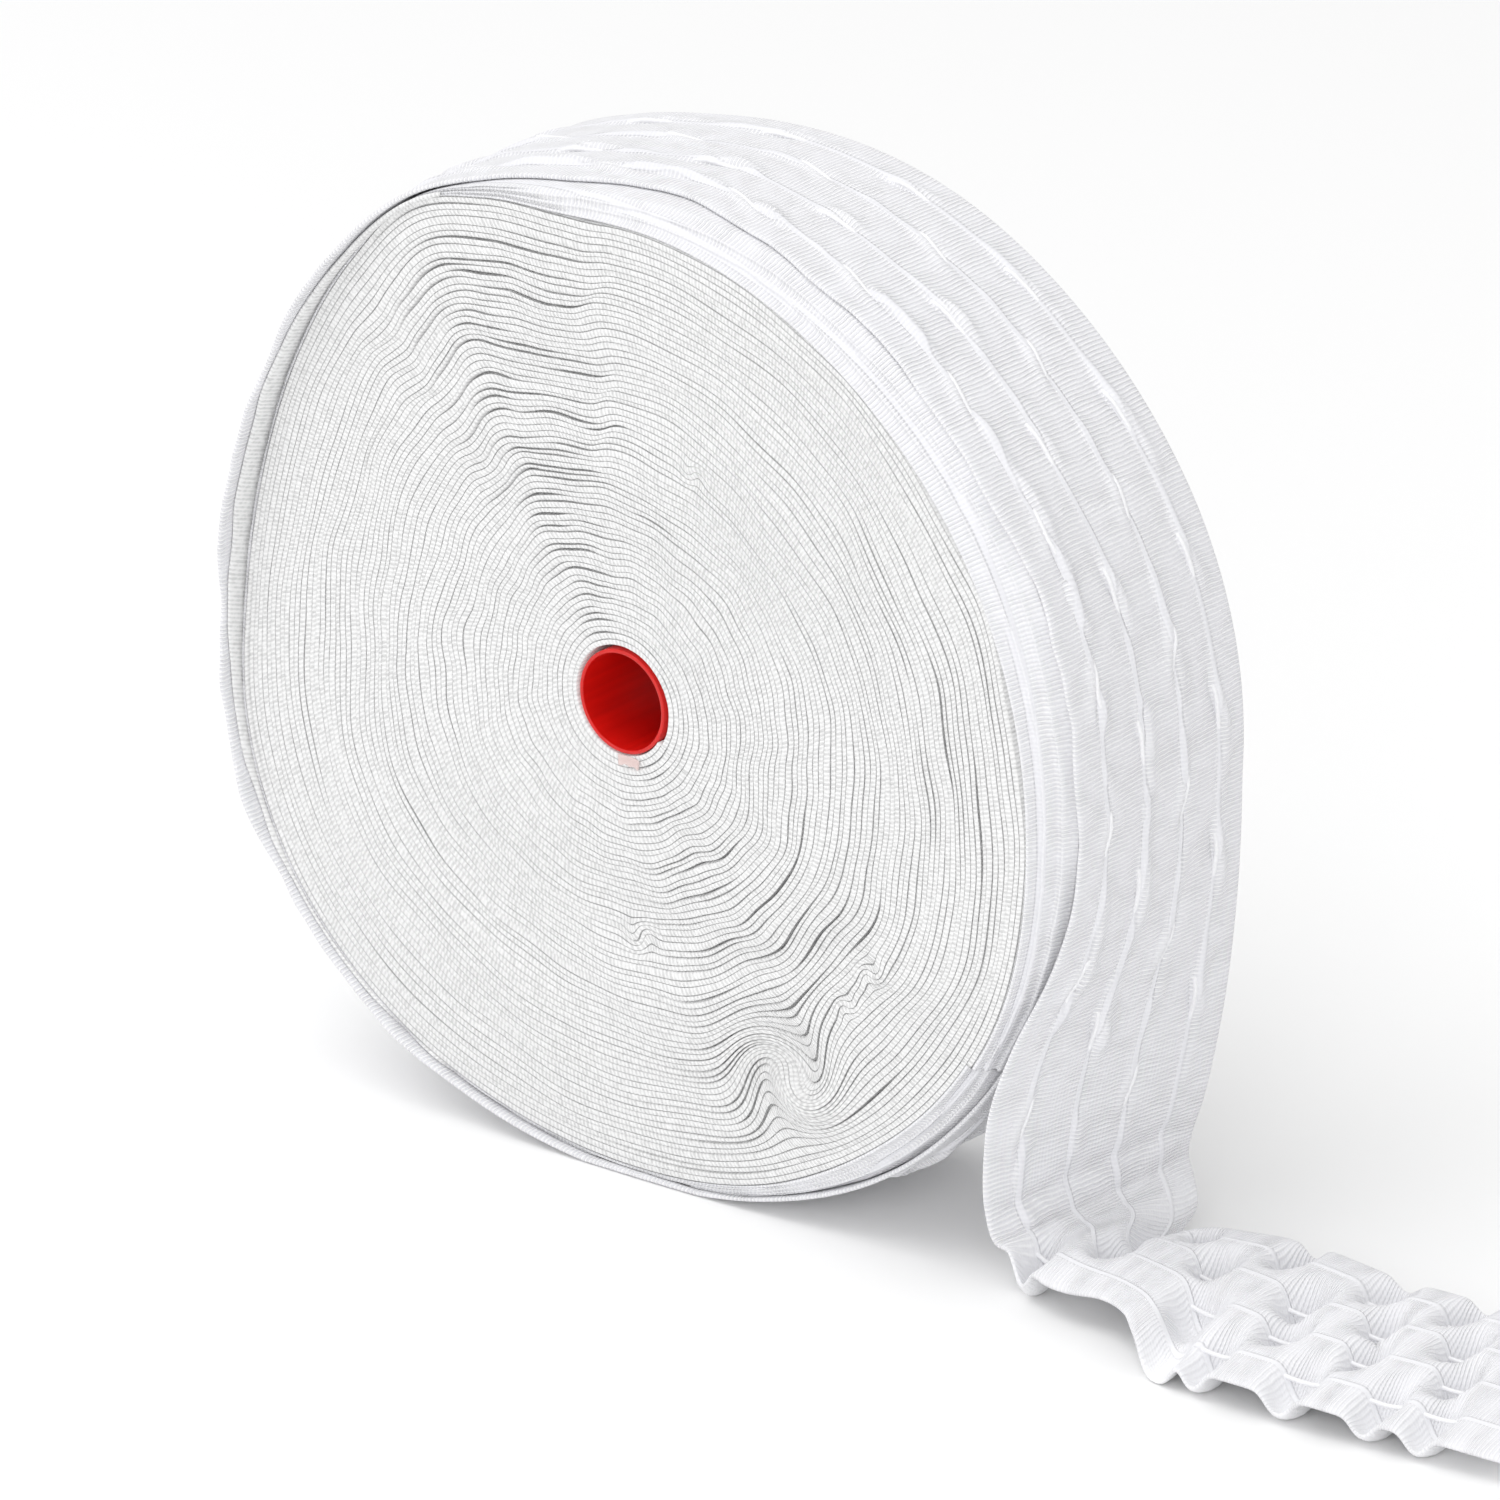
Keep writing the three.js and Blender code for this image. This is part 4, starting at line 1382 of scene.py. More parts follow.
@dataclass(frozen=True)
class LooseInnerTurn:
    """The turn inside the last one, where it has come away from the pack on the upper left."""

    first: float = 66.0
    last: float = 208.0
    step: float = 0.8
    depth: float = 34.0
    half_thickness: float = 0.65
    behind_last: float = 3.0
    cloth_radius: float = 153.0

    def build(self, material: Material) -> Piece:
        """Makes the strip.

        Args:
            material: the wound selvedges' finish.

        Returns:
            The loose strip.
        """
        wound = np.arange(self.first, self.last + self.step, self.step)
        outside = FORM.last_turn_radius(wound) - FORM.tape_thickness - 0.3
        inside = FORM.pack_radius(wound)
        share = (wound - self.first) / (self.last - self.first)
        lifted = np.sin(math.pi * share) ** 0.5
        rise = outside + 0.2 - self.half_thickness - inside + 1.5
        middle = inside - 1.5 + rise * np.minimum(1, 1.35 * lifted)
        near = FORM.last_turn("lead", wound) + self.behind_last + 0.6 * ClothNoise(41).at(wound / 5)
        columns = ((0.0, 0.25), (0.5, 1.0), (0.5 * self.depth, 1.0), (self.depth, 0.4))
        angle = FORM.start_angle - wound
        sides = []
        for sign in (1, -1):
            for v, thick in columns:
                radius = middle + sign * thick * self.half_thickness
                sides.append(FORM.round_axis(radius, angle, near + v, FORM.tape_thickness))
        ring = [0, 1, 2, 3, 7, 6, 5, 4]
        points = np.stack([sides[k] for k in ring], axis=1)
        rows, size = points.shape[:2]
        number = np.arange(rows * size).reshape(rows, size)
        side = np.roll(number, -1, axis=1)
        faces = np.stack([number[:-1], side[:-1], side[1:], number[1:]], axis=-1).reshape(-1, 4)
        quads = faces[:, ::-1].tolist()
        quads.append(number[0].tolist())
        quads.append(number[-1][::-1].tolist())
        arc = np.radians(wound)[:, None] * self.cloth_radius + np.zeros((rows, size))
        across = np.tile([columns[k % 4][0] for k in ring], (rows, 1))
        cloth = np.stack([arc, across], axis=-1).reshape(-1, 2)
        made = Surface(points.reshape(-1, 3), quads, cloth)
        piece = made.to_object("loose_inner_turn", material, Slot.ROLLED)
        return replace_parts(piece, "wound_roll")


# The loose tape


class SelvedgeWave(NamedTuple):
    """A wave of the last turn's near selvedge: height, waves in a turn, and phase."""

    height: float
    per_turn: float
    phase: float


class DrawnBack(NamedTuple):
    """A stretch where the last turn's near selvedge is drawn back: how much, where and how far round."""

    height: float
    wound: float
    reach: float


@dataclass
class LooseTape:
    """The last turn, the hanging end and the gathered end, as one sheet with its woven relief."""

    turn_step: float = 0.82
    hang_step: float = 2.3
    tail_step: float = 0.95
    flat_length: float = 1400.0
    channel_height: float = 0.22
    pucker_height: float = 1.7
    welt_heights: tuple[float, ...] = (2.7, 1.7, 1.2, 1.0)
    edge_bands: tuple[float, ...] = (0, 0.35, 0.9, 2.3, 4.1, 6.1)
    cord_bands: tuple[float, ...] = (-3.9, -3.0, -2.2, -1.5, -0.8, -0.1, 0.6, 1.3, 2.1, 3.0, 3.9)
    waves_begin: tuple[float, float] = (70, 100)
    selvedge_waves: tuple[SelvedgeWave, ...] = (SelvedgeWave(0.9, 11, 0), SelvedgeWave(0.6, 23, 40))
    curl: LongNoise = LongNoise(0.45, 51, 3.1)
    curl_reach: float = 5.0
    start_settles_by: float = 34.0
    drawn_back: tuple[DrawnBack, ...] = (
        DrawnBack(9.0, 230, 24), DrawnBack(1.6, 214, 6), DrawnBack(-1.4, 224, 4),
    )
    deepest_hollow: float = 0.6
    pucker_reach: float = 9.5
    pucker_lean: float = 0.10
    hollow_share: float = 0.55
    welt_offset: float = 1.0
    welt_swing: float = 1.1
    welt_wander: LongNoise = LongNoise(0.8, 75, 7.0)
    welt_fullness: LongNoise = LongNoise(0.75, 85, 12.0)
    welt_least: float = 0.05
    trough_height: float = 22.5
    trough_rise: float = 11.0
    trough_depth: float = 1.3
    lying_smoothness: float = 0.35
    # painted highlight on the puckers' ridges
    ridge_highlight: float = 0.3
    across: Array = field(init=False)
    along: Array = field(init=False)
    lying: Array = field(init=False)
    pockets: Array = field(init=False)
    ridge_highlights: Array = field(init=False)
    grid: Array = field(init=False)
    normals: Array = field(init=False)
    turn_rows: int = field(init=False)

    def __post_init__(self) -> None:
        """Works out the sheet's middle surface."""
        self.across = self.columns()
        turn = self.turn_grid()
        end, self.lying = self.end_grid(turn[-1])
        self.turn_rows = len(turn)
        grid = np.concatenate([turn, end])
        steps = np.linalg.norm(np.diff(grid, axis=0), axis=2).mean(axis=1)
        self.along = np.concatenate([[0], np.cumsum(steps)])
        normals = self.grid_normals(grid)
        self.grid = grid + normals * (self.relief() + self.turnover(grid))[..., None]
        self.normals = self.grid_normals(self.grid)

    def columns(self) -> Array:
        """Places across the tape, closer together at the selvedges and the cords.

        Returns:
            Distances from the near selvedge, in rising order.
        """
        band = list(self.edge_bands)
        places = band + [FORM.tape_width - v for v in band]
        for cord in FORM.cords:
            places += [cord + d for d in self.cord_bands]
        reach = self.cord_bands[-1]
        for low, high in zip(FORM.cords, FORM.cords[1:]):
            places += np.linspace(low + reach, high - reach, 5)[1:-1].tolist()
        return np.array(sorted(places))

    def turn_grid(self) -> Array:
        """The last turn's middle surface, from its start to where it leaves the roll.

        Returns:
            Points by row along the turn and by place across the tape.
        """
        wound = np.append(np.arange(0.5, FORM.leaving_angle, self.turn_step), FORM.leaving_angle)[:, None]
        v = self.across[None, :]
        rise = smooth_step(wound, *self.waves_begin)
        radius = FORM.last_turn_radius(wound) - FORM.tape_thickness / 2 + 0 * v
        turned = [(w.height, np.radians(wound * w.per_turn + w.phase)) for w in self.selvedge_waves]
        waves = sum(height * np.sin(phase) for height, phase in turned)
        noise = ClothNoise(self.curl.seed).at(wound / self.curl.length)
        curls = self.curl.height * noise * np.exp(-v / self.curl_reach)
        lead = FORM.last_turn("lead", wound)
        joined = FORM.last_turn("lead", np.array(360.0)) - FORM.last_turn("lead", np.array(0.0))
        lead = lead + joined * (1 - smooth_step(wound, 0, self.start_settles_by))
        drawn_back = sum(d.height * hump(wound, d.wound, d.reach) for d in self.drawn_back)
        y = lead + v + (rise * (waves + curls) + drawn_back) * (1 - v / FORM.tape_width)
        return FORM.round_axis(radius, FORM.start_angle - wound + 0 * v, y, FORM.tape_thickness / 2)

    def end_grid(self, start: Array) -> tuple[Array, Array]:
        """The hanging and lying stretches.

        Args:
            start: the last row of the turn.

        Returns:
            The rows' points, and how far each row lies on the surface, from 0 to 1.
        """
        axis = np.array([0.0, FORM.face_y, FORM.axis_height])
        near = [start[0]]
        far = [start[-1]]
        for h in FORM.hang_rows:
            near.append(axis + [h.near_x, h.near_y, h.near_height])
            far.append(axis + [h.far_x, h.far_y, h.far_height])
        base = FORM.tape_thickness / 2
        for r in FORM.lying_rows:
            near.append(np.array([r.near_x, FORM.face_y + r.near_y, base + r.near_crown]))
            far.append(np.array([r.far_x, FORM.face_y + r.far_y, base + r.far_crown]))
        near_path, far_path = np.array(near), np.array(far)
        crease = len(FORM.hang_rows) / (len(near) - 1)
        fine = np.linspace(0, 1, 4001)
        line = through(near_path, fine)
        travelled = np.concatenate([[0], np.cumsum(np.linalg.norm(np.diff(line, axis=0), axis=1))])
        turn_over = np.interp(crease * 0.8, fine, travelled)
        stops = np.concatenate(
            [
                np.arange(self.hang_step, turn_over, self.hang_step),
                np.arange(turn_over, travelled[-1], self.tail_step), travelled[-1:],
            ]
        )
        t = np.interp(stops, travelled, fine)
        a, b = through(near_path, t)[:, None, :], through(far_path, t)[:, None, :]
        lying = smooth_step(t, crease * 0.93, crease * 1.12)[:, None]
        place = np.clip((t - crease) / (1 - crease), 0, 1) * (len(FORM.lying_rows) - 1)
        crowns = [row.crown for row in FORM.lying_rows]
        crown = np.interp(place, np.arange(len(crowns)), crowns)[:, None]
        share = (self.across / FORM.tape_width)[None, :]
        grid = a + (b - a) * share[..., None]
        level = (a[..., 2] + b[..., 2]) / 2
        arch = np.sin(math.pi * np.clip(share, 0, 1)).clip(0) ** 0.6
        top = grid[..., 2] + lying * np.maximum(0, crown - level + base) * arch
        depth = lying * self.valley_depth(grid[..., 0])
        grid[..., 2] = top + (base - top) * depth
        self.pockets = depth
        return grid, lying[:, 0]

    def valley_depth(self, x: Array) -> Array:
        """How deep the valleys cut the pleats' crowns, from 0 to 1."""
        left = np.ones_like(x)
        for valley in FORM.valley_rows:
            dx = (x - valley.x) / valley.half_length
            dv = (self.across[None, :] - valley.across) / valley.half_width
            left *= 1 - np.exp(-((dx * dx + dv * dv) ** 1.5))
        return 1 - left

    def pucker_places(self, cord: int) -> Array:
        """Distances along the tape of a cord's puckers on the turn and the hanging end."""
        shift = FORM.pleat_flat * (0.5 if cord % 2 else 0.0)
        end = self.along[np.argmax(np.append(np.zeros(self.turn_rows), self.lying) > 0.02)]
        return np.arange(18 + shift, end - 12, FORM.pleat_flat)

    def relief(self) -> Array:
        """How far the woven cord channels and the puckers beside them stand up, in millimetres.

        Returns:
            Heights by row along the tape and by place across it.
        """
        s, v = self.along[:, None], self.across[None, :]
        on_turn = 1 - np.append(np.zeros(self.turn_rows), self.lying)[:, None]
        height = np.zeros((len(self.along), len(self.across)))
        self.ridge_highlights = np.zeros_like(height)
        for number, cord in enumerate(FORM.cords):
            height += self.channel_height * hump(v, cord, 1.0)
            lean = 1 if number % 2 else -1
            height += on_turn * self.welt(number, cord, s, v)
            for k, centre in enumerate(self.pucker_places(number)):
                size = self.pucker_height * (0.75 + 0.35 * ClothNoise(60 + number).at(np.array(k * 1.0)))
                slant = cord + lean * (s - centre) * self.pucker_lean
                bend = 0.9 * lean * np.sin((s - centre) / 5.5)
                reach = self.pucker_reach + 2.5 * float(ClothNoise(65 + number).at(np.array(k * 1.0)))
                ridge = hump(v, slant + bend + 1.5 * lean, 1.5) * hump(s, centre, reach)
                hollow = hump(v, slant + bend - 1.3 * lean, 1.2) * hump(s, centre - 1, self.pucker_reach)
                height += on_turn * size * (ridge - self.hollow_share * hollow)
                # Painted highlight: the puckers' ridges are lightened towards the crest colour.
                white = self.ridge_highlight * on_turn * smooth_step(ridge, 0.3, 0.9)
                self.ridge_highlights = np.maximum(self.ridge_highlights, white)
        swell = 0.35 * np.sin(math.pi * np.clip((v - 12) / 52, 0, 1) * 3) ** 2
        swell = swell * (0.6 + 0.4 * np.sin(2 * math.pi * s / FORM.pleat_flat))
        return np.maximum(height + on_turn * swell, -self.deepest_hollow)

    def welt(self, number: int, cord: float, s: Array, v: Array) -> Array:
        """The wavy welt that the slack cloth makes all along a cord's channel.

        Args:
            number: the cord, counted from the near selvedge.
            cord: its distance from the near selvedge.
            s: distances along the tape.
            v: distances across it.

        Returns:
            The welt's height at each point.
        """
        wander, fullness = self.welt_wander, self.welt_fullness
        swing = self.welt_swing * np.sin(2 * math.pi * s / FORM.pleat_flat + 2.1 * number)
        line = cord + self.welt_offset + swing
        line = line + wander.height * ClothNoise(wander.seed + number).at(s / wander.length)
        noise = fullness.height * ClothNoise(fullness.seed + number).at(s / fullness.length)
        full = np.clip(0.42 + noise, self.welt_least, 1)
        steep, easy = hump(v, line, 0.9), hump(v, line, 3.0)
        return self.welt_heights[number] * full * np.where(v < line, steep, easy)

    def turnover(self, grid: Array) -> Array:
        """The soft trough across the hanging end above its turnover, and the fullness under it.

        Args:
            grid: the middle surface.

        Returns:
            The height at each point.
        """
        hanging = 1 - np.concatenate([np.ones(self.turn_rows), self.lying])[:, None]
        trough = self.trough_height + self.trough_rise * self.across[None, :] / FORM.tape_width
        inwards = (smooth_step(self.across, 1, 13) * (1 - smooth_step(self.across, 62, 74)))[None, :]
        full = 0.8 * hump(grid[..., 2], trough - 7.5, 4.2)
        return hanging * inwards * (full - self.trough_depth * hump(grid[..., 2], trough, 3.4))

    def grid_normals(self, grid: Array) -> Array:
        """Unit normals of the middle surface, towards the corded face."""
        ahead = np.gradient(grid, axis=0)
        over = np.gradient(grid, axis=1)
        normal = np.cross(ahead, over)
        return normal / np.linalg.norm(normal, axis=2, keepdims=True)

    def on_sheet(self, s: Array, v: Array, height: Array) -> Array:
        """Points over the corded face.

        Args:
            s: distances along the tape.
            v: distances across it.
            height: distances above the middle surface.

        Returns:
            The points.
        """
        i = np.clip(np.searchsorted(self.along, s) - 1, 0, len(self.along) - 2)
        j = np.clip(np.searchsorted(self.across, v) - 1, 0, len(self.across) - 2)
        f = ((s - self.along[i]) / (self.along[i + 1] - self.along[i]))[:, None]
        g = ((v - self.across[j]) / (self.across[j + 1] - self.across[j]))[:, None]

        def blended(values: Array) -> Array:
            """Reads a grid of points or normals between its rows and columns."""
            low = values[i, j] * (1 - g) + values[i, j + 1] * g
            high = values[i + 1, j] * (1 - g) + values[i + 1, j + 1] * g
            return low * (1 - f) + high * f

        return blended(self.grid) + blended(self.normals) * height[:, None]

    def build(self, material: Material) -> Piece:
        """Makes the sheet.

        Args:
            material: the woven tape's finish.

        Returns:
            The loose tape.
        """
        edge = np.minimum(self.across, FORM.tape_width - self.across)
        half = FORM.tape_thickness / 2 * (0.35 + 0.65 * np.sqrt(np.clip(edge / 0.9, 0, 1)))
        rows, size = self.grid.shape[:2]
        upper = self.grid + self.normals * half[None, :, None]
        lower = self.grid - self.normals * half[None, :, None]
        for side in (upper, lower):
            side[..., 2] = np.maximum(side[..., 2], 0.0)
        points = np.concatenate([upper.reshape(-1, 3), lower.reshape(-1, 3)])
        s, v = np.meshgrid(self.along, self.across, indexing="ij")
        cloth = np.tile(np.stack([s, v], axis=-1).reshape(-1, 2), (2, 1))
        made = Surface(points, sheet_faces(rows, size), cloth)
        piece = made.to_object("loose_heading_tape", material, Slot.WOVEN)
        pocket = np.concatenate([np.zeros((self.turn_rows, size)), self.pockets]).ravel()
        smoothed = np.append(np.zeros(self.turn_rows), self.lying) * self.lying_smoothness
        pocket = np.maximum(pocket, np.repeat(smoothed, size))
        give_values(piece, "pocket", np.tile(pocket, 2))
        # The puckers' ridges' painted highlight goes to the finish as the lip value.
        give_values(piece, "lip", np.tile(self.ridge_highlights.ravel(), 2))
        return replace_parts(piece, "loose_tape")


@dataclass
class DrawCords:
    """The draw cords where they show: loops over the puckers, and spans over the pleats' valleys."""

    tape: LooseTape
    first_loop: float = 260.0
    loop_half_length: float = 8.5
    loop_bow: float = 1.1
    span_sag: float = 0.5
    span_points: int = 9
    loop_points: int = 13
    span_height: float = 8.7
    span_reach: float = 2.4
    sides: int = 10

    def loops(self) -> list[Array]:
        """Paths of the cords' loops on the turn and the hanging end.

        Returns:
            One path of points for each loop.
        """
        paths = []
        u = np.linspace(-1, 1, self.loop_points)
        radius = FORM.cord_diameter / 2
        for number, cord in enumerate(FORM.cords):
            lean = 1 if number % 2 else -1
            for k, centre in enumerate(self.tape.pucker_places(number)):
                if centre < self.first_loop:
                    continue
                rise = 0.15 * radius * (1 + 0.4 * float(ClothNoise(70 + number).at(np.array(k * 1.0))))
                s = centre + self.loop_half_length * u
                bow = self.loop_bow * np.cos(math.pi * u / 2)
                v = cord + lean * (0.9 * u - 0.6 + bow * 0.5)
                height = FORM.tape_thickness / 2 + rise - (rise + 1.3) * np.abs(u) ** 3.2
                paths.append(self.tape.on_sheet(s, v, height))
        return paths

    def spans(self) -> list[Array]:
        """Paths of the cords over the gathered end's valleys.

        Returns:
            One path of points for each span.
        """
        paths = []
        crest = self.span_height + FORM.tape_thickness / 2
        for valley in FORM.valley_rows:
            if valley.cord is None:
                continue
            column = int(np.argmin(np.abs(self.tape.across - FORM.cords[valley.cord])))
            line = self.tape.grid[self.tape.turn_rows :, column]
            away = np.where(line[:, 2] < 40, np.abs(line[:, 0] - valley.x), 1e3)
            low = int(np.argmin(away))
            ends = [self.wall(line, low, step, valley, crest) for step in (-1, 1)]
            if ends[0] is None or ends[1] is None:
                continue
            t = np.linspace(-0.12, 1.12, self.span_points)[:, None]
            path = ends[0] + (ends[1] - ends[0]) * t
            path[:, 2] -= self.span_sag * (1 - (2 * t[:, 0] - 1) ** 2)
            paths.append(path)
        return paths

    def wall(self, line: Array, low: int, step: int, valley: ValleyRow, crest: float) -> Array | None:
        """The point at which a valley's wall reaches the cord's height.

        Args:
            line: the cord's column of points.
            low: the number of the valley's lowest point.
            step: -1 towards the roll, 1 towards the tape's end.
            valley: the valley.
            crest: the cord's height.

        Returns:
            The point, or None where the wall is too low.
        """
        i = low
        while 0 < i < len(line) - 1:
            a, b = line[i], line[i + step]
            if a[2] <= crest < b[2]:
                return a + (b - a) * (crest - a[2]) / (b[2] - a[2])
            if abs(b[0] - valley.x) > self.span_reach * valley.half_length:
                return None
            i += step
        return None

    def tree(self) -> Tree:
        """Geometry nodes that give paths a round cord, with its radius, sides and finish as inputs.

        Returns:
            The node tree.
        """
        tree = bpy.data.node_groups.new("round_cord", "GeometryNodeTree")
        for name, way, kind in (
            ("Paths", "INPUT", "NodeSocketGeometry"), ("Radius", "INPUT", "NodeSocketFloat"),
            ("Sides", "INPUT", "NodeSocketInt"), ("Finish", "INPUT", "NodeSocketMaterial"),
            ("Cords", "OUTPUT", "NodeSocketGeometry"),
        ):
            tree.interface.new_socket(name, in_out=way, socket_type=kind)
        given = add_node(tree, "NodeGroupInput", {}, {}).outputs
        curve = add_node(tree, "GeometryNodeMeshToCurve", {}, {"Mesh": given["Paths"]})
        round_section = {"Resolution": given["Sides"], "Radius": given["Radius"]}
        ring = add_node(tree, "GeometryNodeCurvePrimitiveCircle", {}, round_section)
        swept = {"Curve": curve, "Profile Curve": ring, "Fill Caps": True}
        tube = add_node(tree, "GeometryNodeCurveToMesh", {}, swept)
        smooth = add_node(tree, "GeometryNodeSetShadeSmooth", {}, {"Geometry": tube})
        real = add_node(tree, "GeometryNodeRealizeInstances", {}, {"Geometry": smooth})
        finished = {"Geometry": real, "Material": given["Finish"]}
        dressed = add_node(tree, "GeometryNodeSetMaterial", {}, finished)
        add_node(tree, "NodeGroupOutput", {}, {"Cords": dressed})
        return tree

    def build(self, material: Material) -> Piece:
        """Makes the cords.

        Args:
            material: the cords' finish.

        Returns:
            All the cords that show, as one piece.
        """
        points: list[Array] = []
        edges: list[tuple[int, int]] = []
        for path in self.loops() + self.spans():
            first = sum(len(p) for p in points)
            points.append(path)
            edges += [(first + k, first + k + 1) for k in range(len(path) - 1)]
        mesh = bpy.data.meshes.new("draw_cord_paths")
        mesh.from_pydata((np.concatenate(points) * MM).tolist(), edges, [])
        made = bpy.data.objects.new("draw_cords", mesh)
        bpy.context.scene.collection.objects.link(made)
        return solidify_nodes(
            made, self.tree(),
            {"Radius": FORM.cord_diameter / 2 * MM, "Sides": self.sides, "Finish": material},
        )


def solidify_nodes(made: Piece, tree: Tree, inputs: dict[str, Any]) -> Piece:
    """Runs geometry nodes on an object and keeps the result as a plain mesh.

    Args:
        made: the object that holds the paths.
        tree: the geometry nodes.
        inputs: a value for each named input.

    Returns:
        The same object with its finished mesh, riding on the roll.
    """
    modifier = made.modifiers.new("nodes", "NODES")
    modifier.node_group = tree
    for item in tree.interface.items_tree:
        if item.in_out == "INPUT" and item.name in inputs:
            modifier[item.identifier] = inputs[item.name]
    graph = bpy.context.evaluated_depsgraph_get()
    graph.update()
    finished = bpy.data.meshes.new_from_object(made.evaluated_get(graph))
    made.modifiers.remove(modifier)
    made.data = finished
    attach(made, ROOT)
    return made


# The core and the scrap of film


@dataclass(frozen=True)
class CoreTube:
    """The thin red plastic core, open at both ends, with rounded rims."""

    segments: int = 128
    rim: float = 0.45

    def build(self, material: Material) -> Piece:
        """Makes the core.

        Args:
            material: the red plastic's finish.

        Returns:
            The core tube.
        """
        outer = FORM.core_radius
        inner = outer - FORM.core_wall
        width = FORM.tape_width
        turn = np.radians(np.linspace(0, 90, 5))
        rim = self.rim
        near = [(inner + rim - rim * math.cos(a), rim - rim * math.sin(a)) for a in turn]
        near += [(outer - rim + rim * math.sin(a), rim - rim * math.cos(a)) for a in turn]
        far = [(r, width - y) for r, y in reversed(near)]
        body = [(outer, width * k / 4) for k in (1, 2, 3)]
        bore = [(inner, width * k / 4) for k in (3, 2, 1)]
        profile = np.array(near + body + far + bore)
        angle = np.arange(self.segments) * 360 / self.segments
        radius = profile[None, :, 0] + 0 * angle[:, None]
        depth = profile[None, :, 1] + 0 * angle[:, None]
        points = FORM.round_axis(radius, angle[:, None] + 0 * radius, depth)
        cloth = np.stack([np.radians(angle)[:, None] * radius, depth], axis=-1).reshape(-1, 2)
        made = Surface(points.reshape(-1, 3), ring_faces(*radius.shape, flip=True), cloth)
        piece = made.to_object("red_core", material, Slot.RED)
        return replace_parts(piece, "core_tube")


@dataclass(frozen=True)
class AdhesiveScrap:
    """The torn scrap of clear film under the core's rim, a little creased."""

    half_width: float = 4.2
    height: float = 3.6
    thickness: float = 0.4
    x: float = 3.0
    below: float = 0.5
    columns: int = 14
    rows: int = 7

    def build(self, material: Material) -> Piece:
        """Makes the scrap.

        Args:
            material: the clear film's finish.

        Returns:
            The scrap of film.
        """
        u, w = np.meshgrid(np.linspace(-1, 1, self.columns), np.linspace(0, 1, self.rows))
        x = self.x + u * self.half_width * (1 - 0.14 * w)
        top = 0.5 * self.height * 0.22 * (1 - u**2)
        ragged = 0.25 * np.sin(7 * u + 1) + 0.15 * np.sin(17 * u)
        z = FORM.axis_height - FORM.core_radius - self.below + top - w * (self.height - 0.6 + ragged * w)
        crumple = 0.10 * np.sin(5 * u + 3 * w) + 0.06 * np.sin(11 * u - 4 * w)
        y = FORM.face_y - FORM.gap - self.thickness / 2 + crumple
        front = np.stack([x, y - self.thickness * 0.25, z], axis=-1).reshape(-1, 3)
        back = np.stack([x, y + self.thickness * 0.25, z], axis=-1).reshape(-1, 3)
        cloth = np.tile(np.stack([x, z], axis=-1).reshape(-1, 2), (2, 1))
        made = Surface(np.vstack([front, back]), sheet_faces(self.rows, self.columns), cloth)
        piece = made.to_object("film_scrap", material, Slot.FILM)
        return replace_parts(piece, "adhesive_scrap")


# Studio


@dataclass(frozen=True)
class SoftBox:
    """A square area light that faces the roll."""

    name: str
    place: tuple[float, float, float]
    size: float
    watts: float

    def build(self, aim: Vector) -> Piece:
        """Makes the light.

        Args:
            aim: the point that it faces.

        Returns:
            The light.
        """
        lamp = bpy.data.lights.new(self.name, "AREA")
        lamp.shape = "SQUARE"
        lamp.size = self.size
        lamp.energy = self.watts
        made = bpy.data.objects.new(self.name, lamp)
        made.location = self.place
        made.rotation_euler = (aim - Vector(self.place)).to_track_quat("-Z", "Y").to_euler()
        bpy.context.scene.collection.objects.link(made)
        return made


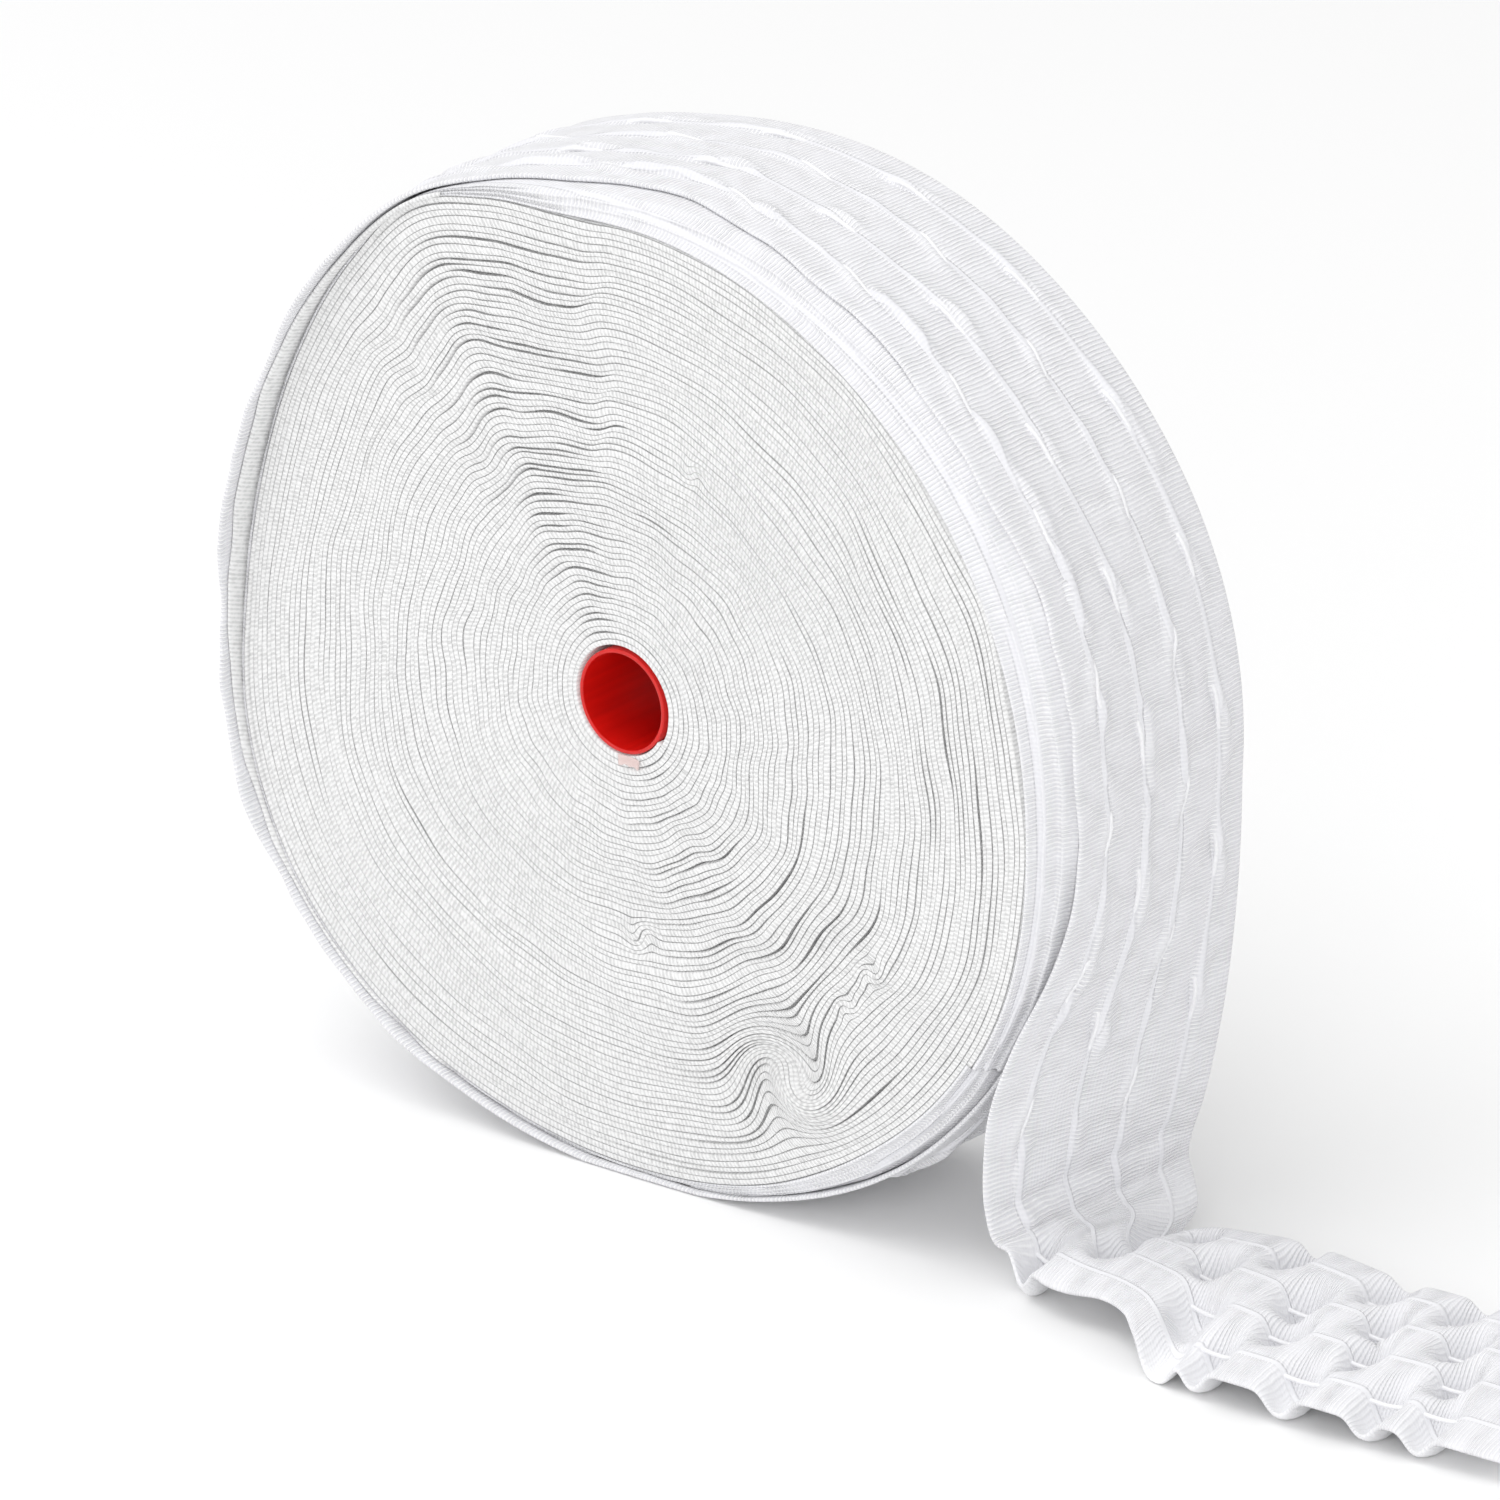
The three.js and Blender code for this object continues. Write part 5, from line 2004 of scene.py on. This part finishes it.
@dataclass(frozen=True)
class Studio:
    """The floor, the soft light and the camera at the photograph's angle."""

    azimuth: float = 39.8
    elevation: float = 23.0
    camera_place: tuple[float, float, float] = (1.9960, -2.3756, 1.4416)
    lens: float = 276.6
    sensor: float = 36.0
    floor_half: float = 6.0
    floor_below: float = 0.0002
    aim: tuple[float, float, float] = (0.05, 0.0, 0.14)
    sky: str = "#FFFFFF"
    sky_strength: float = 0.75
    sky_slope: float = 0.12
    sky_towards: tuple[float, float, float] = (-0.62, -0.36, 0.70)
    boxes: tuple[SoftBox, ...] = (
        SoftBox("key_box", (-0.6, -0.75, 2.4), 1.7, 21.0),
        SoftBox("fill_box", (1.3, -1.7, 0.9), 1.2, 10.5),
    )

    def build(self) -> None:
        """Makes the floor, the lights, the sky and the camera."""
        half = self.floor_half
        mesh = bpy.data.meshes.new("studio_floor")
        corners = [(-half, -half), (half, -half), (half, half), (-half, half)]
        mesh.from_pydata([(x, y, -self.floor_below) for x, y in corners], [], [(0, 1, 2, 3)])
        mesh.materials.append(FloorFinish().build())
        floor = bpy.data.objects.new("studio_floor", mesh)
        bpy.context.scene.collection.objects.link(floor)
        for box in self.boxes:
            box.build(Vector(self.aim))
        world = bpy.data.worlds.new("studio_sky")
        bpy.context.scene.world = world
        world.use_nodes = True
        world.node_tree.nodes.clear()
        tree = world.node_tree
        way = add_node(tree, "ShaderNodeTexCoord", {}, {}).outputs["Generated"]
        towards = {0: way, 1: self.sky_towards}
        facing = add_node(tree, "ShaderNodeVectorMath", {"operation": "DOT_PRODUCT"}, towards)
        sloped = {0: facing.outputs["Value"], 1: self.sky_slope, 2: self.sky_strength}
        strength = add_node(tree, MATH, MULTIPLY_ADD, sloped)
        seen = add_node(tree, "ShaderNodeLightPath", {}, {}).outputs["Is Camera Ray"]
        shown = add_node(tree, MATH, MAXIMUM, {0: strength, 1: seen})
        light = {"Color": linear(self.sky), "Strength": shown}
        sky = add_node(tree, "ShaderNodeBackground", {}, light)
        add_node(tree, "ShaderNodeOutputWorld", {}, {"Surface": sky})
        bpy.context.scene.view_settings.view_transform = "Standard"
        self.camera()

    def camera(self) -> None:
        """Makes the camera."""
        a, e = math.radians(self.azimuth), math.radians(self.elevation)
        back = Vector((math.sin(a) * math.cos(e), -math.cos(a) * math.cos(e), math.sin(e)))
        right = Vector((math.cos(a), math.sin(a), 0))
        up = back.cross(right)
        lens = bpy.data.cameras.new("photo_camera")
        lens.lens = self.lens
        lens.sensor_width = self.sensor
        lens.clip_start, lens.clip_end = 0.1, 50.0
        made = bpy.data.objects.new("photo_camera", lens)
        turned = Matrix((right, up, back)).transposed().to_4x4()
        made.matrix_world = Matrix.Translation(Vector(self.camera_place)) @ turned
        bpy.context.scene.collection.objects.link(made)
        bpy.context.scene.camera = made


def report(pieces: Sequence[Piece]) -> None:
    """Logs each piece with its triangles.

    Args:
        pieces: the pieces to name.
    """
    for piece in pieces:
        triangles = sum(len(face.vertices) - 2 for face in piece.data.polygons)
        LOG.info("%s: %d triangles", piece.name, triangles)


def main() -> None:
    """Builds the roll, its loose tape and the studio."""
    logging.basicConfig(level=logging.INFO, format="%(message)s")
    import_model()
    Studio().build()

    selvedge = WoundSelvedgeFinish().build()
    woven = WovenTapeFinish().build()
    report(WoundFace(Side.NEAR).build(selvedge))
    report(WoundFace(Side.FAR, profile=(0.0, 0.3, 0.7)).build(selvedge))
    report([OuterTurns().build(woven), LooseInnerTurn().build(selvedge)])

    tape = LooseTape()
    sheet = tape.build(woven)
    cords = DrawCords(tape).build(DRAW_CORD.build())
    report([sheet, cords])

    report([CoreTube().build(RED_CORE.build()), AdhesiveScrap().build(CLEAR_FILM.build())])


if __name__ == "__main__":
    main()
